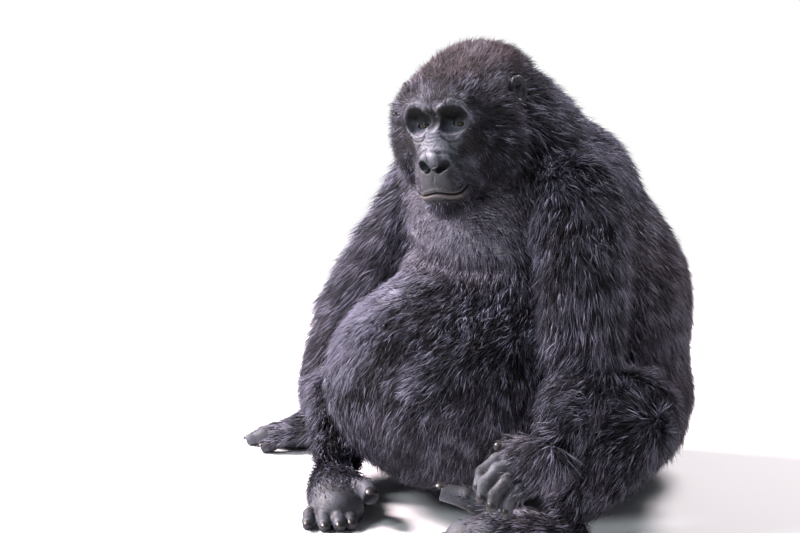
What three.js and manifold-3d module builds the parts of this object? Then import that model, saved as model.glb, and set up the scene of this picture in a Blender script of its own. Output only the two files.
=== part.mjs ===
// Seated gorilla, a still life-size model: body resting on its rump, the near hand laid on the near
// foot and the far hand propped on the ground. Millimetres, +Z up, facing -Y, its own left at +X.
// The outlines are those of the coat, from hair tip to hair tip.
import * as THREE from 'three';
import { mergeVertices } from 'three/addons/utils/BufferGeometryUtils.js';
import Module from 'manifold-3d';

const wasm = await Module();
wasm.setup();

// Driving dimensions
const GAP = 0.35; // clearance between neighbouring pieces
const EYE_RADIUS = 12.5;
const EYE_SPREAD = 33.5; // each eye's centre from the middle of the head
const HEAD_SCALE = 1.05;
const HEAD_YAW = 15; // degrees, towards its left
const HEAD_PITCH = 0; // degrees, nose up
const HEAD_ROLL = -8; // degrees, tipped towards its right shoulder
const HEAD_LEAN = 0.08; // how far the muzzle leans to its left, for each millimetre down it
const EYE_LINE = [14, -116, 695]; // point midway between the eyes
const CHEST_CUT = 430; // height of the cut between the belly and the chest
const RUMP_CUT = 150; // height of the cut between the rump and the belly
const BODY_SOFTNESS = 24; // rounding where the masses of the body run together
const HEAD_SOFTNESS = 9;
const HEAD_DETAIL = 7; // how finely the head is faceted
const TRUNK_DETAIL = 5;

const vec = (p) => new THREE.Vector3(p[0], p[1], p[2]);

// Closed meshes and solids
function solid(geometry) {
  const bare = geometry.index ? geometry.toNonIndexed() : geometry.clone();
  bare.deleteAttribute('normal');
  bare.deleteAttribute('uv');
  const merged = mergeVertices(bare, 1e-3);
  return new wasm.Manifold(new wasm.Mesh({
    numProp: 3,
    vertProperties: new Float32Array(merged.attributes.position.array),
    triVerts: new Uint32Array(merged.index.array),
  }));
}

function geometryOf(body) {
  const mesh = body.getMesh();
  const geometry = new THREE.BufferGeometry();
  geometry.setAttribute('position', new THREE.BufferAttribute(new Float32Array(mesh.vertProperties), 3));
  geometry.setIndex(new THREE.BufferAttribute(new Uint32Array(mesh.triVerts), 1));
  return geometry;
}

function block(low, high) {
  const size = high.map((value, axis) => value - low[axis]);
  const box = new THREE.BoxGeometry(size[0], size[1], size[2]);
  box.translate((low[0] + high[0]) / 2, (low[1] + high[1]) / 2, (low[2] + high[2]) / 2);
  return solid(box);
}

// Distance fields: an ellipsoid, a tapered bone, and several of them run together
function ball(centre, radii) {
  return (p, grow) => {
    const q = [0, 1, 2].map((i) => (p[i] - centre[i]) / (radii[i] + grow));
    const g = [0, 1, 2].map((i) => q[i] / (radii[i] + grow));
    const length = Math.hypot(q[0], q[1], q[2]);
    return (length * (length - 1)) / Math.max(1e-9, Math.hypot(g[0], g[1], g[2]));
  };
}

function bone(from, to, fromRadius, toRadius) {
  const axis = to.map((value, i) => value - from[i]);
  const square = axis.reduce((sum, value) => sum + value * value, 0);
  return (p, grow) => {
    const along = axis.reduce((sum, value, i) => sum + value * (p[i] - from[i]), 0) / square;
    const t = Math.min(1, Math.max(0, along));
    const away = Math.hypot(...axis.map((value, i) => p[i] - from[i] - value * t));
    return away - fromRadius - (toRadius - fromRadius) * t - grow;
  };
}

function blend(shapes, softness) {
  return (p, grow) => {
    const near = shapes.map((shape) => shape(p, grow));
    const least = Math.min(...near);
    return least - softness * Math.log(near.reduce((sum, d) => sum + Math.exp((least - d) / softness), 0));
  };
}

// A pair of shapes mirrored across the middle plane
const both = (make, centre, ...rest) => [1, -1].map((side) => (
  make([side * centre[0], centre[1], centre[2]], ...rest)));

// A sphere of triangles drawn in along its rays until it meets a field's surface
function cast(field, centre, detail, reach, grow = 0) {
  const shell = new THREE.IcosahedronGeometry(1, detail);
  const position = shell.attributes.position;
  for (let i = 0; i < position.count; i += 1) {
    const ray = new THREE.Vector3().fromBufferAttribute(position, i).normalize();
    const at = (r) => [centre[0] + ray.x * r, centre[1] + ray.y * r, centre[2] + ray.z * r];
    let far = reach;
    while (far > 8 && field(at(far - 8), grow) > 0) far -= 8;
    let near = Math.max(0, far - 8);
    for (let step = 0; step < 16; step += 1) {
      const middle = (near + far) / 2;
      if (field(at(middle), grow) > 0) far = middle;
      else near = middle;
    }
    position.setXYZ(i, ...at(far));
  }
  return shell;
}

// A limb: a sphere's rings strung along a smooth curve through stations of
// [x, y, z, half breadth, half depth], with rounded ends and its breadth square to `face`
function limb(stations, face, sides, rings, grow = 0) {
  const line = new THREE.CatmullRomCurve3(stations.map(vec), false, 'centripetal');
  const sizes = new THREE.CatmullRomCurve3(
    stations.map((s) => new THREE.Vector3(s[3] + grow, (s[4] ?? s[3]) + grow, 0)), false, 'catmullrom', 0.5);
  const length = line.getLength();
  const tube = new THREE.SphereGeometry(1, sides, rings);
  const position = tube.attributes.position;
  const front = vec(face).normalize();
  for (let i = 0; i < position.count; i += 1) {
    const p = new THREE.Vector3().fromBufferAttribute(position, i);
    const turn = p.y > 0.99999 || p.y < -0.99999 ? 0 : Math.atan2(p.z, p.x);
    const t = (1 - p.y) / 2;
    const u = 0.35 * t + 0.65 * (0.5 - Math.asin(1 - 2 * t) / Math.PI);
    const size = sizes.getPoint(u);
    const first = Math.min(0.45, (0.8 * sizes.getPoint(0).x) / length);
    const last = Math.min(0.45, (0.8 * sizes.getPoint(1).x) / length);
    const cap = Math.sqrt(Math.max(0, 1 - Math.max(0, 1 - u / first) ** 2))
      * Math.sqrt(Math.max(0, 1 - Math.max(0, 1 - (1 - u) / last) ** 2));
    const tangent = line.getTangent(u);
    const across = new THREE.Vector3().crossVectors(front, tangent).normalize();
    const out = new THREE.Vector3().crossVectors(tangent, across).normalize();
    const point = line.getPoint(u);
    const end = tangent.clone().multiplyScalar(grow * (2 * u - 1));
    point.add(end);
    point.addScaledVector(across, Math.cos(turn) * size.x * cap);
    point.addScaledVector(out, Math.sin(turn) * size.y * cap);
    position.setXYZ(i, point.x, point.y, point.z);
  }
  return solid(tube);
}

const GROUND = block([-900, -900, -400], [900, 900, 0]);

// Trunk: belly, rump, back, chest and shoulders run together
const trunkField = blend([
  ball([0, -42, 222], [250, 256, 196]),
  ball([0, 160, 150], [290, 262, 172]),
  ball([0, 172, 330], [270, 252, 250]),
  ball([0, 52, 500], [172, 146, 135]),
  ...both(ball, [128, 60, 560], [104, 98, 90]),
  ball([0, 150, 555], [180, 158, 126]),
], BODY_SOFTNESS);

const neckField = blend([
  bone([4, 120, 585], [10, 40, 680], 125, 108),
  ball([4, 70, 635], [140, 125, 75]),
], 20);

function trunk(grow) {
  return solid(cast(trunkField, [0, 60, 330], TRUNK_DETAIL, 640, grow)).subtract(GROUND);
}

// Head, in its own frame: x to its left, y back, z up, from the point between the eyes
const uprightHead = blend([
  ball([0, 85, 28], [98, 100, 82]),
  ball([0, 130, 58], [58, 78, 50]),
  ball([0, 154, 52], [84, 88, 58]),
  ...both(ball, [62, 46, 14], [48, 46, 50]),
  ball([0, 140, 0], [94, 84, 95]),
  ...both(ball, [24, -6, 26], [26, 14, 10]),
  ball([0, 8, -22], [66, 34, 60]),
  ball([0, -9, -98], [48, 36, 38]),
  ball([0, -30, -60], [26, 20, 15]),
  ball([0, -16, -28], [11, 13, 34]),
  ball([0, -26, -98], [38, 25, 16]),
  ball([0, -18, -134], [36, 24, 22]),
  ...both(ball, [68, 52, -48], [54, 62, 82]),
  ball([0, 55, -80], [80, 60, 72]),
], HEAD_SOFTNESS);
const lean = (z) => HEAD_LEAN * Math.min(85, Math.max(0, -30 - z));
const headField = (p, grow) => uprightHead([p[0] - lean(p[2]), p[1], p[2]], grow);

const headMatrix = new THREE.Matrix4().makeTranslation(...EYE_LINE)
  .multiply(new THREE.Matrix4().makeRotationZ(THREE.MathUtils.degToRad(HEAD_YAW)))
  .multiply(new THREE.Matrix4().makeRotationY(THREE.MathUtils.degToRad(HEAD_ROLL)))
  .multiply(new THREE.Matrix4().makeRotationX(THREE.MathUtils.degToRad(HEAD_PITCH)))
  .multiply(new THREE.Matrix4().makeScale(HEAD_SCALE, HEAD_SCALE, HEAD_SCALE));

const onHead = (geometry) => solid(geometry.applyMatrix4(headMatrix));

function globe(centre, radii, sides = 10, rings = 8) {
  const shape = new THREE.SphereGeometry(1, sides, rings);
  shape.scale(...radii);
  shape.translate(...centre);
  return shape;
}

const headShell = onHead(cast(headField, [0, 42, -35], HEAD_DETAIL, 300));
const eyeSolid = (side, grow) => onHead(globe([side * EYE_SPREAD, 5.5, -5],
  new Array(3).fill((EYE_RADIUS + grow) / HEAD_SCALE)));
const earSolid = (side, grow) => {
  const shape = new THREE.SphereGeometry(1, 10, 8);
  shape.scale(9 + grow, 17 + grow, 25 + grow);
  shape.rotateZ(THREE.MathUtils.degToRad(side * -24));
  shape.translate(side * 107, 77, 35);
  return onHead(shape);
};

const mouthCut = onHead(new THREE.BoxGeometry(260, 220, GAP).rotateX(THREE.MathUtils.degToRad(8))
  .translate(0, 40, -101));
const jawSpace = onHead(new THREE.BoxGeometry(260, 220, 200).rotateX(THREE.MathUtils.degToRad(8))
  .translate(0, 54, -200));
const jawBack = block([-200, -60, 500], [260, 260, 800]);
let face = headShell;
for (const side of [1, -1]) {
  face = face.subtract(onHead(globe([side * 35, -25, 3], [25.5, 25, 23], 12, 9)));
  face = face.subtract(onHead(globe([side * 16 + lean(-68), -47, -68], [8, 10, 6], 8, 6)));
  face = face.subtract(eyeSolid(side, GAP));
  face = face.subtract(earSolid(side, GAP));
}
const jawPart = jawSpace.subtract(jawBack);
const head = face.subtract(jawPart.add(mouthCut.subtract(jawBack)));
const jaw = face.intersect(jawPart);

// Arms and hands. Each station is a centre followed by half breadth and half depth
const arms = {
  left: {
    upper: [[140, 56, 600, 56], [180, 38, 575, 82], [234, 2, 500, 82], [272, -32, 400, 78],
      [284, -46, 315, 72], [288, -48, 270, 60]],
    fore: [[288, 10, 272, 40], [296, -40, 272, 66], [320, -105, 245, 66], [350, -165, 218, 56],
      [372, -210, 196, 42], [384, -228, 188, 34]],
    face: [1, 0, 0.4],
    palm: [[388, -212, 190, 27, 20], [376, -226, 180, 38, 22], [356, -242, 166, 46, 23],
      [336, -254, 154, 44, 20]],
    palmUp: [0.3, -0.82, 0.48],
    fingers: [
      [[322, -240, 168, 14.5], [296, -270, 167, 14], [290, -298, 150, 13.5], [293, -312, 128, 11.5]],
      [[334, -244, 158, 15], [314, -284, 155, 15], [307, -310, 134, 14], [309, -320, 112, 12]],
      [[348, -246, 148, 14.5], [337, -286, 142, 14.5], [331, -310, 121, 13.5], [332, -319, 101, 12]],
      [[358, -244, 138, 13], [358, -280, 129, 13], [353, -300, 109, 12], [353, -308, 93, 11]],
    ],
    thumb: [[364, -216, 180, 17], [330, -218, 184, 16], [298, -232, 186, 14], [278, -246, 182, 11.5]],
  },
  right: {
    upper: [[-130, 66, 590, 56], [-166, 52, 560, 80], [-206, 40, 473, 78], [-264, 8, 378, 72],
      [-330, -8, 280, 66], [-350, -10, 244, 54]],
    fore: [[-340, 14, 262, 46], [-350, -2, 246, 60], [-380, -2, 190, 58], [-405, 2, 132, 52],
      [-428, 8, 88, 42], [-436, 12, 68, 34]],
    face: [0, 1, 0],
    palm: [[-426, 10, 74, 28, 22], [-446, 8, 50, 40, 24], [-470, 4, 25, 50, 26],
      [-498, 0, 18, 49, 19]],
    palmUp: [-0.2, 0, 1],
    fingers: [
      [[-470, -30, 26, 14], [-514, -46, 24, 14], [-538, -56, 14, 13], [-549, -61, 8, 11.5]],
      [[-470, -12, 26, 15], [-524, -18, 26, 15], [-551, -22, 15, 14], [-564, -24, 8, 12]],
      [[-470, 12, 26, 14.5], [-524, 15, 26, 14.5], [-550, 18, 15, 13.5], [-562, 19, 8, 12]],
      [[-468, 28, 25, 13], [-511, 44, 22, 13], [-533, 51, 13, 12], [-543, 54, 7, 10.5]],
    ],
    thumb: [[-444, -14, 42, 16], [-460, -50, 26, 14], [-476, -71, 14, 12.5], [-488, -82, 8, 11]],
  },
};

// Legs and feet
const legs = {
  left: {
    thigh: [[95, 190, 130, 90], [180, 140, 140, 118, 112], [265, 80, 170, 108, 104],
      [335, 25, 198, 88, 88], [366, 2, 208, 72, 72]],
    shin: [[372, 22, 218, 50], [378, -8, 204, 70], [378, -60, 160, 68], [368, -126, 108, 56],
      [360, -172, 74, 46], [358, -188, 62, 38]],
    face: [0, 0, 1],
    sole: [[384, -152, 30, 28, 32], [366, -186, 34, 36, 38], [330, -226, 36, 44, 36],
      [286, -262, 30, 50, 30], [252, -288, 22, 46, 22]],
    toes: [
      [[290, -232, 42, 20], [250, -242, 64, 19], [212, -262, 84, 19], [178, -284, 92, 16.5]],
      [[264, -262, 26, 14], [228, -284, 23, 14], [204, -302, 16, 13], [190, -314, 9, 11]],
      [[268, -278, 25, 14], [232, -308, 22, 14], [208, -328, 16, 13], [194, -340, 9, 11]],
      [[276, -292, 24, 13], [248, -330, 20, 13], [226, -348, 14, 12], [213, -360, 8, 10.5]],
      [[290, -300, 22, 12.5], [272, -344, 18, 12.5], [256, -362, 13, 11.5], [246, -373, 7, 10]],
    ],
  },
  right: {
    thigh: [[-95, 190, 130, 90], [-160, 120, 140, 112, 108], [-215, 50, 160, 98, 96],
      [-256, -15, 172, 84, 84], [-274, -46, 172, 70, 70]],
    shin: [[-286, -34, 178, 46], [-280, -62, 164, 68], [-240, -116, 118, 62], [-192, -170, 80, 52],
      [-164, -200, 62, 42], [-156, -210, 56, 36]],
    face: [0, 0, 1],
    sole: [[-186, -180, 30, 28, 32], [-162, -206, 34, 36, 38], [-122, -248, 36, 43, 36],
      [-80, -286, 29, 49, 30], [-48, -312, 22, 46, 22]],
    toes: [
      [[-86, -258, 42, 20], [-46, -262, 52, 19], [-10, -278, 58, 18], [18, -296, 54, 16]],
      [[-62, -288, 26, 14], [-26, -308, 23, 14], [-2, -326, 16, 13], [11, -337, 9, 11]],
      [[-64, -302, 25, 14], [-30, -330, 22, 14], [-6, -350, 16, 13], [7, -361, 9, 11]],
      [[-72, -316, 24, 13], [-46, -350, 20, 13], [-24, -369, 14, 12], [-12, -379, 8, 10.5]],
      [[-84, -322, 22, 12.5], [-68, -362, 18, 12.5], [-52, -380, 13, 11.5], [-42, -391, 7, 10]],
    ],
  },
};

function hand({ palm, palmUp, fingers, thumb }, grow = 0) {
  let body = limb(palm, palmUp, 10, 6, grow);
  for (const finger of [...fingers, thumb]) body = body.add(limb(finger, palmUp, 6, 6, grow));
  return body.subtract(GROUND);
}

function foot({ sole, toes }, grow = 0) {
  let body = limb(sole, [0, 0, 1], 10, 7, grow);
  for (const toe of toes) body = body.add(limb(toe, [0, 0, 1], 6, 6, grow));
  return body.subtract(GROUND);
}

const BODY = trunk(0);
const BODY_GROWN = trunk(GAP);
const NECK_GROWN = solid(cast(neckField, [8, 70, 650], 3, 400, GAP));
const HEAD_GROWN = onHead(cast(headField, [0, 42, -35], HEAD_DETAIL, 300, GAP));
const above = (height) => block([-700, -700, height + GAP / 2], [700, 700, 1000]);
const below = (height) => block([-700, -700, -50], [700, 700, height - GAP / 2]);

const pieces = {
  rump: BODY.intersect(below(RUMP_CUT)),
  belly: BODY.intersect(above(RUMP_CUT)).intersect(below(CHEST_CUT)),
  chest: BODY.intersect(above(CHEST_CUT)).subtract(HEAD_GROWN),
  neck: solid(cast(neckField, [8, 70, 650], 3, 400)).subtract(BODY_GROWN).subtract(HEAD_GROWN)
    .subtract(earSolid(1, GAP)).subtract(earSolid(-1, GAP)),
  head,
  lower_jaw: jaw,
  eye_left: eyeSolid(1, 0),
  eye_right: eyeSolid(-1, 0),
  ear_left: earSolid(1, 0),
  ear_right: earSolid(-1, 0),
};

// Limbs, each cut clear of what is already in place
const taken = [BODY_GROWN, HEAD_GROWN, NECK_GROWN];
function place(name, make) {
  pieces[name] = taken.reduce((body, other) => body.subtract(other), make(0));
  taken.push(make(GAP));
}

for (const side of ['left', 'right']) {
  const arm = arms[side];
  const leg = legs[side];
  place(`foot_${side}`, (grow) => foot(leg, grow));
  place(`hand_${side}`, (grow) => hand(arm, grow));
  place(`thigh_${side}`, (grow) => limb(leg.thigh, leg.face, 12, 8, grow).subtract(GROUND));
  place(`upper_arm_${side}`, (grow) => limb(arm.upper, arm.face, 12, 9, grow));
  place(`shin_${side}`, (grow) => limb(leg.shin, leg.face, 12, 7, grow).subtract(GROUND));
  place(`forearm_${side}`, (grow) => limb(arm.fore, arm.face, 12, 7, grow));
}

const COAT = { color: 0x1c1b1f, roughness: 0.85, metalness: 0 };
const SKIN = { color: 0x2b2a2c, roughness: 0.55, metalness: 0 };
const EYE = { color: 0x2a1408, roughness: 0.1, metalness: 0 };
const looks = (name) => {
  if (name.startsWith('eye')) return EYE;
  return /^(hand|foot|ear|lower_jaw)/.test(name) ? SKIN : COAT;
};

const gorilla = new THREE.Group();
for (const [name, body] of Object.entries(pieces)) {
  const mesh = new THREE.Mesh(geometryOf(body), new THREE.MeshStandardMaterial(looks(name)));
  mesh.name = name;
  gorilla.add(mesh);
}

// Origin on the ground, under the middle of the model
const box = new THREE.Box3().setFromObject(gorilla);
const middle = box.getCenter(new THREE.Vector3());
gorilla.position.set(-middle.x, -middle.y, 0);

export default gorilla;
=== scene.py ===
import math

import bmesh
import bpy
import numpy as np
from mathutils import Matrix, Vector
from mathutils.bvhtree import BVHTree


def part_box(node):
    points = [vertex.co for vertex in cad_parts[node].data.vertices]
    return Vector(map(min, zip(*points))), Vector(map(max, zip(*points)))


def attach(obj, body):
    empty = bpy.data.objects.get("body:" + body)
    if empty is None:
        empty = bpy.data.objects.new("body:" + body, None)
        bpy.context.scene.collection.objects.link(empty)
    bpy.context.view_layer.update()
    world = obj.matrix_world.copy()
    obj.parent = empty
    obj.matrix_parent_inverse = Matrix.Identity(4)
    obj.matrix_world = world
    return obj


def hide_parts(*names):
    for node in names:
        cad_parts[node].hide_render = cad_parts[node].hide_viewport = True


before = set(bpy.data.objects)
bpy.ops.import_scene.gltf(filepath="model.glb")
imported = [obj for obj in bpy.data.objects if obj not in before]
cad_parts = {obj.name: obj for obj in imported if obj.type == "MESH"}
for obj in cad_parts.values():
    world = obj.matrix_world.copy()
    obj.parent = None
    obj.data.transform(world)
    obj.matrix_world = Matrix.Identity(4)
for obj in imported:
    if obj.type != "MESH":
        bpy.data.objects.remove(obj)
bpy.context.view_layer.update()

bl_info = {
    "name": "Seated Gorilla",
    "version": (1, 0, 0),
    "blender": (4, 5, 0),
    "location": "View3D > Sidebar > Gorilla",
    "description": "Builds the skin, eyes, nails and coat of a seated gorilla",
    "category": "Add Mesh",
}

SEED = 7
ROOT = "root"

# The animal's own measures, in millimetres, in the frame it was posed in: it faces -Y
HEAD_SCALE = 1.05
HEAD_TURN = (15.0, 0.0, -8.0)  # yaw, pitch and roll in degrees
EYE_LINE = np.array((14.0, -116.0, 695.0))
EYE = np.array((33.5, 5.5, -5.0))  # left eyeball's centre in the head's frame
EYE_RADIUS = 11.9  # the eyeball's radius in the head's frame
EAR = (105.0, 77.0, 35.0)  # left ear's middle
HEAD_LEAN = 0.08  # how far the muzzle leans to its left, for each millimetre down it
TEAT = (105, 471)  # across and up
FOLD_PITCH = 1.15  # how fast the breast's level folds follow each other, in radians a millimetre
FLOOR_LEVEL = 0.2  # the lowest that skin reaches
HAIR_LEVEL = 0.6  # the lowest that hair reaches

LIMBS = {  # each limb's root and tip: its hair lies from one to the other
    "upper_arm_left": ((180, 38, 575), (288, -46, 270)),
    "upper_arm_right": ((-166, 52, 560), (-350, -8, 244)),
    "forearm_left": ((288, 0, 262), (384, -228, 188)),
    "forearm_right": ((-345, 5, 255), (-436, 14, 70)),
    "thigh_left": ((120, 170, 330), (366, 2, 190)),
    "thigh_right": ((-120, 160, 330), (-274, -46, 150)),
    "shin_left": ((376, 10, 215), (356, -190, 50)),
    "shin_right": ((-284, -40, 180), (-156, -214, 50)),
    "hand_left": ((388, -212, 190), (320, -262, 150)),
    "hand_right": ((-426, 10, 74), (-500, 0, 18)),
    "foot_left": ((384, -152, 40), (252, -288, 22)),
    "foot_right": ((-186, -180, 40), (-48, -312, 22)),
}

# By part: depth of the coat, and its hair's length, lift in degrees, breadth and density
COAT = {
    "rump": (14, 40, 22, 2.4, 1.0),
    "belly": (11, 34, 20, 2.2, 1.0),
    "chest": (12, 34, 22, 2.2, 1.0),
    "neck": (14, 38, 24, 2.2, 1.1),
    "head": (9, 27, 29, 1.6, 1.5),
    "lower_jaw": (4, 20, 24, 1.5, 1.3),
    "ear_left": (0, 8, 20, 1.0, 0.0),
    "ear_right": (0, 8, 20, 1.0, 0.0),
    "upper_arm_left": (16, 50, 24, 2.4, 1.1),
    "upper_arm_right": (16, 50, 24, 2.4, 1.1),
    "forearm_left": (15, 52, 13, 2.2, 1.1),
    "forearm_right": (15, 52, 15, 2.2, 1.1),
    "hand_left": (0.5, 26, 14, 1.8, 1.0),
    "hand_right": (0.5, 26, 14, 1.8, 1.0),
    "thigh_left": (15, 44, 22, 2.4, 1.0),
    "thigh_right": (15, 44, 22, 2.4, 1.0),
    "shin_left": (14, 42, 24, 2.4, 1.0),
    "shin_right": (14, 42, 24, 2.4, 1.0),
    "foot_left": (0.5, 22, 14, 1.8, 0.8),
    "foot_right": (0.5, 22, 14, 1.8, 0.8),
}
FLESH = list(COAT)
HEAD_PARTS = ("head", "lower_jaw", "ear")

# Boxes of the head's frame that are drawn afresh, each by its low and its high corner
WHOLE_HEAD = ((-1, -99, -199), (199, 199, 199))
FACE_BOXES = (
    ((-1, -70, -150), (70, 30, 50)),  # the face
    ((-1, -70, -136), (60, 12, 26)),  # the face within its outline
    ((-1, -80, -92), (40, -14, -36)),  # the nose
    ((-1, -70, -36), (20, -4, 10)),  # the bridge of the nose
    ((20, -70, -24), (50, -2, 10)),  # the eye
    ((-1, -70, -122), (52, -4, -104)),  # the lips
)
EAR_BOX = ((82, 42, -2), (132, 112, 72))
RIM_BOX = ((94, 48, 4), (132, 106, 68))

# Each hand and foot: its palm or sole as stations of x, y, z, half-breadth and half-depth, the way
# its back faces, and its digits as stations of x, y, z and radius, from knuckle to tip
EXTREMITIES = {
    "hand_left": (
        ((388, -212, 190, 27, 20), (376, -226, 180, 38, 22), (356, -242, 166, 46, 23),
         (336, -254, 154, 44, 20)),
        (0.3, -0.82, 0.48),
        (
            ((322, -240, 168, 14.5), (296, -270, 167, 14), (290, -298, 150, 13.5), (293, -312, 128, 11.5)),
            ((334, -244, 158, 15), (314, -284, 155, 15), (307, -310, 134, 14), (309, -320, 112, 12)),
            ((348, -246, 148, 14.5), (337, -286, 142, 14.5), (331, -310, 121, 13.5), (332, -319, 101, 12)),
            ((358, -244, 138, 13), (358, -280, 129, 13), (353, -300, 109, 12), (353, -308, 93, 11)),
            ((364, -216, 180, 17), (330, -218, 184, 16), (298, -232, 186, 14), (278, -246, 182, 11.5)),
        ),
    ),
    "hand_right": (
        ((-426, 10, 74, 28, 22), (-446, 8, 50, 40, 24), (-470, 4, 25, 50, 26), (-498, 0, 18, 49, 19)),
        (-0.2, 0, 1),
        (
            ((-470, -30, 26, 14), (-514, -46, 24, 14), (-538, -56, 14, 13), (-549, -61, 8, 11.5)),
            ((-470, -12, 26, 15), (-524, -18, 26, 15), (-551, -22, 15, 14), (-564, -24, 8, 12)),
            ((-470, 12, 26, 14.5), (-524, 15, 26, 14.5), (-550, 18, 15, 13.5), (-562, 19, 8, 12)),
            ((-468, 28, 25, 13), (-511, 44, 22, 13), (-533, 51, 13, 12), (-543, 54, 7, 10.5)),
            ((-444, -14, 42, 16), (-460, -50, 26, 14), (-476, -71, 14, 12.5), (-488, -82, 8, 11)),
        ),
    ),
    "foot_left": (
        ((384, -152, 30, 28, 32), (366, -186, 34, 36, 38), (330, -226, 36, 44, 36), (286, -262, 30, 50, 30),
         (252, -288, 22, 46, 22)),
        (0, 0, 1),
        (
            ((290, -232, 42, 20), (250, -242, 64, 19), (212, -262, 84, 19), (178, -284, 92, 16.5)),
            ((264, -262, 26, 14), (228, -284, 23, 14), (204, -302, 16, 13), (190, -314, 9, 11)),
            ((268, -278, 25, 14), (232, -308, 22, 14), (208, -328, 16, 13), (194, -340, 9, 11)),
            ((276, -292, 24, 13), (248, -330, 20, 13), (226, -348, 14, 12), (213, -360, 8, 10.5)),
            ((290, -300, 22, 12.5), (272, -344, 18, 12.5), (256, -362, 13, 11.5), (246, -373, 7, 10)),
        ),
    ),
    "foot_right": (
        ((-186, -180, 30, 28, 32), (-162, -206, 34, 36, 38), (-122, -248, 36, 43, 36),
         (-80, -286, 29, 49, 30), (-48, -312, 22, 46, 22)),
        (0, 0, 1),
        (
            ((-86, -258, 42, 20), (-46, -262, 52, 19), (-10, -278, 58, 18), (18, -296, 54, 16)),
            ((-62, -288, 26, 14), (-26, -308, 23, 14), (-2, -326, 16, 13), (11, -337, 9, 11)),
            ((-64, -302, 25, 14), (-30, -330, 22, 14), (-6, -350, 16, 13), (7, -361, 9, 11)),
            ((-72, -316, 24, 13), (-46, -350, 20, 13), (-24, -369, 14, 12), (-12, -379, 8, 10.5)),
            ((-84, -322, 22, 12.5), (-68, -362, 18, 12.5), (-52, -380, 13, 11.5), (-42, -391, 7, 10)),
        ),
    ),
}
SWELL = 0.0012  # how far each part of flesh grows to meet the next, in metres
VOXEL = 0.006  # the cells that join them, in metres
SKIN_KEPT = 0.26  # the share of the joined skin's triangles that stays
LOCK = 13  # how broad a lock of hair is, in millimetres
COAT_PIECES = 8
PATCH = 0.001  # a tuft's bake patch is three of these across

VIEW_DROP = 12.0  # how steeply the camera looks down, in degrees
VIEW_AIM = (-145.8, 407.7)  # where it aims, across and up its own view
VIEW_AWAY = 7000
LENS = 175  # its focal length and sensor, in millimetres
SENSOR = 36
FLOOR_RADIUS = 4.0
FLOOR_FADE = (1.1, 2.6)  # how far out the floor starts and ends to fade to white, in metres
LAMP_AIM = (0, 0, 0.4)
LAMPS = {  # each lamp's place in metres, its width, its power in watts and its colour
    "sky": ((0.5, 1.3, 2.9), 1.2, 105, (1.0, 0.93, 0.97)),
    "front": ((-1.0, -3.2, 2.5), 1.0, 78, (0.88, 0.94, 1.0)),
    "rim": ((-2.4, -1.3, 2.4), 1.0, 380, (1.0, 0.87, 0.92)),
}
WORLD_LIGHT = ((0.86, 0.92, 1.0, 1), 0.15)
WHITE = (1, 1, 1, 1)


# Small maths -------------------------------------------------------------------------------


def turn(axis, degrees):
    """A rotation about x, y or z."""
    c, s = math.cos(math.radians(degrees)), math.sin(math.radians(degrees))
    i, j = [(1, 2), (2, 0), (0, 1)]["xyz".index(axis)]
    m = np.eye(3)
    m[i, i] = m[j, j] = c
    m[j, i], m[i, j] = s, -s
    return m


HEAD = turn("z", HEAD_TURN[0]) @ turn("y", HEAD_TURN[2]) @ turn("x", HEAD_TURN[1])


def middle(node):
    """The middle of a node, in metres."""
    low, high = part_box(node)
    return (np.array(low) + np.array(high)) / 2


def frame_shift():
    """Where the posing frame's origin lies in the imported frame, in metres."""
    eyes = (middle("eye_left") + middle("eye_right")) / 2
    return eyes - (EYE_LINE + HEAD @ (EYE * (0, 1, 1)) * HEAD_SCALE) / 1000


SHIFT = frame_shift()


def to_body(p):
    """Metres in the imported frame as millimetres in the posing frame."""
    return (p - SHIFT) * 1000


def to_world(p):
    return np.asarray(p, float) / 1000 + SHIFT


def lean(z):
    """How far the face lies to its left at a height."""
    return HEAD_LEAN * np.clip(-30 - z, 0, 85)


def to_head(body_points):
    q = (body_points - EYE_LINE) @ HEAD / HEAD_SCALE
    q[..., 0] -= lean(q[..., 2])
    return q


def from_head(head_points):
    q = np.array(head_points, float)
    q[..., 0] += lean(q[..., 2])
    return q * HEAD_SCALE @ HEAD.T + EYE_LINE


def unit(v):
    return v / np.maximum(np.linalg.norm(v, axis=-1, keepdims=True), 1e-9)


def across(v, normals):
    """The part of each vector that lies along the surface."""
    return v - normals * (v * normals).sum(axis=1, keepdims=True)


def step(low, high, x):
    """0 where x is at low, 1 where it is at high, and smooth between them."""
    t = np.clip((x - low) / (high - low), 0, 1)
    return t * t * (3 - 2 * t)


def along(x, xs, ys):
    return np.interp(x, xs, ys)


def wander(p, size, seed):
    """A smooth random direction at each point, changing over about a size in millimetres."""
    random = np.random.default_rng(seed)
    total = np.zeros_like(p)
    for octave in range(3):
        waves = random.normal(size=(5, 3)) / size * (1.6**octave) * 2.2
        phase = random.uniform(0, 6.28, size=(5, 3))
        for wave, shift in zip(waves, phase):
            total += np.sin((p @ wave)[:, None] + shift) / 1.5**octave
    return total / 3


# Solid shapes as distance functions of points --------------------------------------------------


def ball(p, centre, radii, tilt=None):
    """An ellipsoid."""
    q = p - centre
    if tilt is not None:
        q = q @ tilt
    q = q / radii
    length = np.linalg.norm(q, axis=1)
    return length * (length - 1) / np.maximum(np.linalg.norm(q / radii, axis=1), 1e-6)


def rod(p, start, end, r0, r1):
    """A round rod that tapers from one radius to another."""
    axis = np.subtract(end, start)
    t = np.clip((p - start) @ axis / (axis @ axis), 0, 1)
    return np.linalg.norm(p - start - t[:, None] * axis, axis=1) - (r0 + (r1 - r0) * t)


def chain(p, points, radii):
    links = zip(points, points[1:], radii, radii[1:])
    return np.min([rod(p, a, b, r, s) for a, b, r, s in links], axis=0)


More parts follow.
